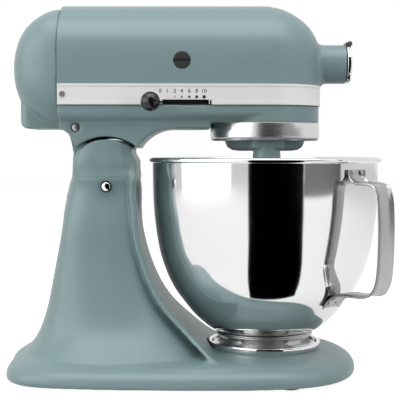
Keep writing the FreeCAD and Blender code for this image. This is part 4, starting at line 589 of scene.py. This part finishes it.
bmesh.ops.rotate(handle, verts=handle.verts[:], cent=(0, 0, 0),
                 matrix=Matrix.Rotation(math.radians(HANDLE_TURN), 3, "Z"))
bmesh.ops.translate(handle, verts=handle.verts[:], vec=Vector(BOWL_AXIS))
to_piece("bowl_handle_strap", handle, "bowl", "bowl_steel", replaced=("bowl_handle",),
         angle=38.0, recalc=False, look="handle_steel")

# %% [markdown]
# The drip ring is a plated steel band pressed over the gearcase's nose, with its lower edge turned
# in. The planetary turns inside it.

# %% Drip ring
ring_top = high("drip_ring").z / MM
ring_low = low("drip_ring").z / MM
ring_r = high("drip_ring").y / MM
ring_profile = ([(ring_r - 1.2, ring_top)] + arc((ring_r - 0.3, ring_top - 0.3), 0.3, 90, 0, 3)
                + [(ring_r, ring_low + 4.2)] + arc((ring_r - 3.6, ring_low + 3.6), 3.6, 0, -90, 9)
                + [(ring_r - 8.0, ring_low), (ring_r - 8.0, ring_low + 1.0),
                   (ring_r - 3.8, ring_low + 1.1), (ring_r - 1.8, ring_low + 3.4)])
to_piece("drip_ring_band", turned(ring_profile, BOWL_AXIS, steps=160, closed=True), "head",
         "chrome_trim", replaced=("drip_ring",), angle=35.0, look="satin_chrome")

# %% [markdown]
# The speed scale is printed on the band: seven numbers, a row of dots that grow with the speed, and
# below them the slot that the lever slides in. The band's side is not quite parallel to the middle
# plane, so its place is worked out first.

# %% The band's side
NOSE_HALF = 53.2
SEAM_HALF = 58.0
SEAM_X = low("motor_housing").x / MM
AXIS_X = BOWL_X / MM
BAND_PROUD = 0.4
NUMBER_Z = 270.1
DOT_Z = 266.2
SLOT_Z = 261.4


def band_y(x):
    """The band's right-hand surface at x, in millimetres."""
    return -(NOSE_HALF + (SEAM_HALF - NOSE_HALF) * (AXIS_X - x) / (AXIS_X - SEAM_X) + BAND_PROUD)


lean = math.atan((SEAM_HALF - NOSE_HALF) / (AXIS_X - SEAM_X))
on_band = Matrix.Rotation(lean, 4, "Z") @ Matrix.Rotation(math.radians(90), 4, "X")
print("the band leans by", round(math.degrees(lean), 2), "degrees")

# %% [markdown]
# Each number is a text object made into a mesh and laid on the band. A dot is a flat turned disc.

# %% Speed scale
marks = []
for text, x, dot in (("0", -32.1, 0.0), ("1", -25.8, 0.5), ("2", -18.8, 1.2), ("4", -12.3, 1.7),
                     ("6", -5.3, 2.2), ("8", 1.5, 2.8), ("10", 8.4, 3.3)):
    curve = bpy.data.curves.new("number_" + text, "FONT")
    curve.body = text
    curve.size = 5.0 * MM
    curve.align_x = "CENTER"
    curve.extrude = 0.05 * MM
    curve.offset = 0.06 * MM
    holder = bpy.data.objects.new("number_" + text, curve)
    bpy.context.scene.collection.objects.link(holder)
    bpy.context.view_layer.update()
    mesh = bpy.data.meshes.new_from_object(holder.evaluated_get(bpy.context.evaluated_depsgraph_get()))
    bpy.data.objects.remove(holder)
    mark = bmesh.new()
    mark.from_mesh(mesh)
    bpy.data.meshes.remove(mesh)
    place = Matrix.Translation((x * MM, (band_y(x) - 0.03) * MM, NUMBER_Z * MM))
    bmesh.ops.transform(mark, matrix=place @ on_band, verts=mark.verts[:])
    marks.append(mark)
    if dot:
        disc = turned([(0.0, 0.08), (dot / 2 - 0.04, 0.08), (dot / 2, 0.0)],
                      (x * MM, (band_y(x) - 0.01) * MM, DOT_Z * MM), axis=(0, -1, 0), steps=24)
        marks.append(disc)
to_piece("speed_numbers", joined(*marks), "head", "dark_plastic", recalc=False)

# %% [markdown]
# A thin dark backing stands behind the slot as painted shade that darkens it, and a small bright stop closes its
# far end.

# %% Painted shade behind the slot, and the stop
SLOT_X, SLOT_HALF = -8.9, 24.6
STOP_X = 14.2
SHADE_BACKING_Y = -46.5
# A dark backing behind the slot: painted shade, so that the slot looks dark.
shade_backing = bmesh.new()
bmesh.ops.create_cube(shade_backing, size=1.0)
bmesh.ops.scale(shade_backing, vec=(2 * (SLOT_HALF + 3) * MM, 1.0 * MM, 8.0 * MM), verts=shade_backing.verts[:])
bmesh.ops.bevel(shade_backing, geom=shade_backing.edges[:], offset=0.3 * MM, segments=2, profile=0.5, material=-1,
                affect="EDGES")
bmesh.ops.rotate(shade_backing, verts=shade_backing.verts[:], cent=(0, 0, 0), matrix=Matrix.Rotation(lean, 3, "Z"))
bmesh.ops.translate(shade_backing, verts=shade_backing.verts[:], vec=(SLOT_X * MM, SHADE_BACKING_Y * MM, SLOT_Z * MM))
to_piece("slot_shade_backing", shade_backing, "head", "dark_plastic")
stop = bmesh.new()
bmesh.ops.create_cube(stop, size=1.0)
bmesh.ops.scale(stop, vec=(2.6 * MM, 2.4 * MM, 3.8 * MM), verts=stop.verts[:])
bmesh.ops.bevel(stop, geom=stop.edges[:], offset=0.5 * MM, segments=3, profile=0.5, material=-1,
                affect="EDGES")
bmesh.ops.translate(stop, verts=stop.verts[:],
                    vec=(STOP_X * MM, (band_y(STOP_X) + 1.0) * MM, SLOT_Z * MM))
to_piece("slot_stop", stop, "head", "chrome_trim")

# %% [markdown]
# The lever is a plated rod, pushed into a glossy black ball. The ball has a cup moulded round the
# rod, and is turned about the rod's own axis.

# %% Knob
knob_at = middle("speed_knob") / MM
knob_r = (high("speed_knob").z - low("speed_knob").z) / 2 / MM
elbow = Vector((-30.4, -54.5, SLOT_Z))
along = (elbow - (knob_at + Vector((4.0, 1.5, 0.0)))).normalized()
cup = 5.6
reach = math.sqrt(knob_r ** 2 - cup ** 2)
ball = arc((0.0, 0.0), knob_r, -90, math.degrees(math.asin(reach / knob_r)) - 3, 22)
hollow = [(cup - 1.0, reach - 0.2), (4.1, reach - 1.6), (3.4, reach - 3.4), (0.0, reach - 4.2)]
ball += [(cup - 0.3, reach + 0.12)] + smooth_line(hollow, 4)
to_piece("knob_ball", turned(ball, knob_at * MM, axis=along, steps=72), "speed_control", "black_gloss",
         replaced=("speed_knob",), angle=50.0)

# %% [markdown]
# Two round steel ends show on the neck: the hinge pin, sunk in the head, and the lock shaft, which
# has a dark ring round it, painted shade of the gap round the shaft. Two dark arcs are painted shade
# in the gap between the head and the dome, with room between them for the lock's plunger.

# %% Pin ends
shaft_end = low("lock_shaft").y / MM
lock_at = Vector((LOCK.x, 0.0, LOCK.z))
button = turned([(0.0, 0.9), (2.0, 0.75), (3.4, 0.3), (3.9, 0.0), (4.4, -0.5), (4.4, -1.4)],
                (lock_at.x, shaft_end * MM, lock_at.z), axis=(0, -1, 0), steps=64)
to_piece("lock_shaft_button", button, "lock_lever", "chrome_trim", angle=30.0)
# A dark ring round the shaft on the column's side: painted shade of the gap where the shaft comes through.
COLUMN_SIDE_Y = -48.2
gap_shade = turned([(4.7, 0.0), (4.7, 0.8), (4.9, 1.0), (5.3, 1.0), (5.5, 0.7), (5.5, 0.0)],
              (lock_at.x, COLUMN_SIDE_Y * MM, lock_at.z), axis=(0, -1, 0), steps=64, closed=True)
to_piece("lock_shaft_gap_shade", gap_shade, "pedestal", "dark_plastic", angle=30.0)
# Two dark arcs fill the gap between head and dome: painted shade of the gap.
GAP_IN, GAP_OUT = 45.3, 47.2
strips = [turned([(GAP_IN, side - 6.0), (GAP_OUT, side - 6.0), (GAP_OUT, side + 6.0),
                  (GAP_IN, side + 6.0)], lock_at, axis=(0, 1, 0), steps=24, sweep=63.0,
                 start=-119.0, closed=True) for side in (-14.0, 14.0)]
to_piece("neck_gap_shade_strip", joined(*strips), "head", "dark_plastic", angle=30.0)
pin_y = low("hinge_pin").y / MM
pin_end = turned([(0.0, 0.5), (2.6, 0.45), (3.5, 0.1), (3.8, -0.4), (3.8, -1.0)],
                 (HINGE.x, pin_y * MM, HINGE.z), axis=(0, -1, 0), steps=64)
to_piece("hinge_pin_end", pin_end, "head", "machined_steel", angle=30.0)


# %% [markdown]
# The camera stands level with the bowl's rim, a little above it, and looks along the side of the
# mixer. A long lens keeps the shape nearly flat, as in a catalogue picture.

# %% Camera
LOOK_DOWN = 2.76
camera_data = bpy.data.cameras.new("camera")
camera_data.lens = 95.2
camera_data.clip_end = 20.0
camera = bpy.data.objects.new("camera", camera_data)
bpy.context.scene.collection.objects.link(camera)
camera.location = (4.6 * MM, -1.040, 217.8 * MM)
camera.rotation_euler = (math.radians(90.0 - LOOK_DOWN), 0.0, 0.0)
bpy.context.scene.camera = camera
print("lens", round(camera_data.lens, 1), "mm")

# %% [markdown]
# A product studio is a white floor, three large soft lights, and cards just outside the picture.
# The floor is dull and shines a little, so that it stays white far from the lights. Light Path
# lets it shine by one strength to the lens and by another to polished metal.

# %% Floor
def studio_material(name, colour, glow=None):
    """A dull card. With glow it also shines, by its first value to the lens, its second to metal."""
    material = bpy.data.materials.new(name)
    material.use_nodes = True
    tree = material.node_tree
    shader = tree.nodes["Principled BSDF"]
    shader.inputs["Base Color"].default_value = colour
    shader.inputs["Roughness"].default_value = 1.0
    shader.inputs["Specular IOR Level"].default_value = 0.0
    if glow:
        shader.inputs["Emission Color"].default_value = (1.0, 1.0, 1.0, 1.0)
        rays = tree.nodes.new("ShaderNodeLightPath")
        to_lens = add_node(tree, "ShaderNodeMath", operation="MULTIPLY")
        to_metal = add_node(tree, "ShaderNodeMath", operation="MULTIPLY_ADD")
        tree.links.new(rays.outputs["Is Camera Ray"], to_lens.inputs[0])
        tree.links.new(rays.outputs["Is Glossy Ray"], to_metal.inputs[0])
        to_lens.inputs[1].default_value, to_metal.inputs[1].default_value = glow
        tree.links.new(to_lens.outputs["Value"], to_metal.inputs[2])
        tree.links.new(to_metal.outputs["Value"], shader.inputs["Emission Strength"])
    return material


def card(name, corners, colour, glow=None):
    bm = bmesh.new()
    bm.faces.new([bm.verts.new(c) for c in corners])
    mesh = bpy.data.meshes.new(name)
    bm.to_mesh(mesh)
    bm.free()
    piece = bpy.data.objects.new(name, mesh)
    bpy.context.scene.collection.objects.link(piece)
    mesh.materials.append(studio_material(name + "_surface", colour, glow=glow))
    return piece


card("floor", [(-6, -6, 0), (6, -6, 0), (6, 6, 0), (-6, 6, 0)], (0.50, 0.50, 0.50, 1), glow=(0.88, 0.60))
print("floor laid")


# %% [markdown]
# Polished steel shows only what surrounds it. A black card in front and another on the floor draw
# the dark band down the middle of the bowl, and a grey one stands at the right.

# %% Cards
def reflected_card(name, corners, colour):
    """A card that only polished surfaces see."""
    piece = card(name, corners, colour)
    piece.visible_camera = False
    piece.visible_diffuse = False
    piece.visible_shadow = False
    return piece


def upright(x0, y0, x1, y1, z0, z1):
    return [(x0, y0, z0), (x1, y1, z0), (x1, y1, z1), (x0, y0, z1)]


BLACK = (0.0, 0.0, 0.0, 1)
GREY = (0.30, 0.31, 0.32, 1)
reflected_card("black_front_card", upright(-0.44, -1.5, 1.09, -1.5, 0.0, 3.0), BLACK)
low_outline = [(-0.44, -1.5), (1.09, -1.5), (0.36, -0.46), (0.175, -0.175), (0.13, -0.116),
               (0.03, -0.116), (0.008, -0.175), (-0.08, -0.46)]
reflected_card("black_low_card", [(x, y, 0.001) for x, y in low_outline], BLACK)
reflected_card("grey_right_card", upright(1.10, -1.5, 2.4, -0.6, 0.0, 1.6), GREY)
print("cards: 3")

# %% [markdown]
# The lights are wide and weak, so that the paint gets broad highlights and the steel no hot spots.
# All three point at the middle of the machine.

# %% Lights
LIT_POINT = Vector((0, 0, 0.2))


def soft_light(name, place, size, power):
    data = bpy.data.lights.new(name, "AREA")
    data.shape = "RECTANGLE"
    data.size, data.size_y = size
    data.energy = power
    lamp = bpy.data.objects.new(name, data)
    bpy.context.scene.collection.objects.link(lamp)
    lamp.location = place
    lamp.rotation_euler = (LIT_POINT - Vector(place)).to_track_quat("-Z", "Y").to_euler()


soft_light("top_light", (0.0, -0.6, 1.9), (2.4, 1.6), 30.0)
soft_light("left_light", (-1.8, -0.9, 0.75), (2.4, 1.6), 24.0)
soft_light("right_light", (1.6, -1.3, 0.8), (1.6, 1.6), 13.0)
print("lights: 3")

# %% [markdown]
# The room itself is white paper. The lens sees it plain white, polished metal sees it a shade
# darker, and it gives the paint a much weaker, even fill.

# %% World
world = bpy.data.worlds.new("studio")
world.use_nodes = True
sky = world.node_tree
backdrop = sky.nodes["Background"]
backdrop.inputs["Color"].default_value = (1.0, 1.0, 1.0, 1)
rays = sky.nodes.new("ShaderNodeLightPath")
seen = add_node(sky, "ShaderNodeMath", operation="MULTIPLY_ADD")
seen.inputs[1].default_value = 0.88
power = add_node(sky, "ShaderNodeMapRange")
power.inputs["To Min"].default_value = 0.19
sky.links.new(rays.outputs["Is Glossy Ray"], seen.inputs[0])
sky.links.new(rays.outputs["Is Camera Ray"], seen.inputs[2])
sky.links.new(seen.outputs["Value"], power.inputs["Value"])
sky.links.new(power.outputs["Result"], backdrop.inputs["Strength"])
bpy.context.scene.world = world
bpy.context.scene.view_settings.view_transform = "Standard"
print("world", world.name)
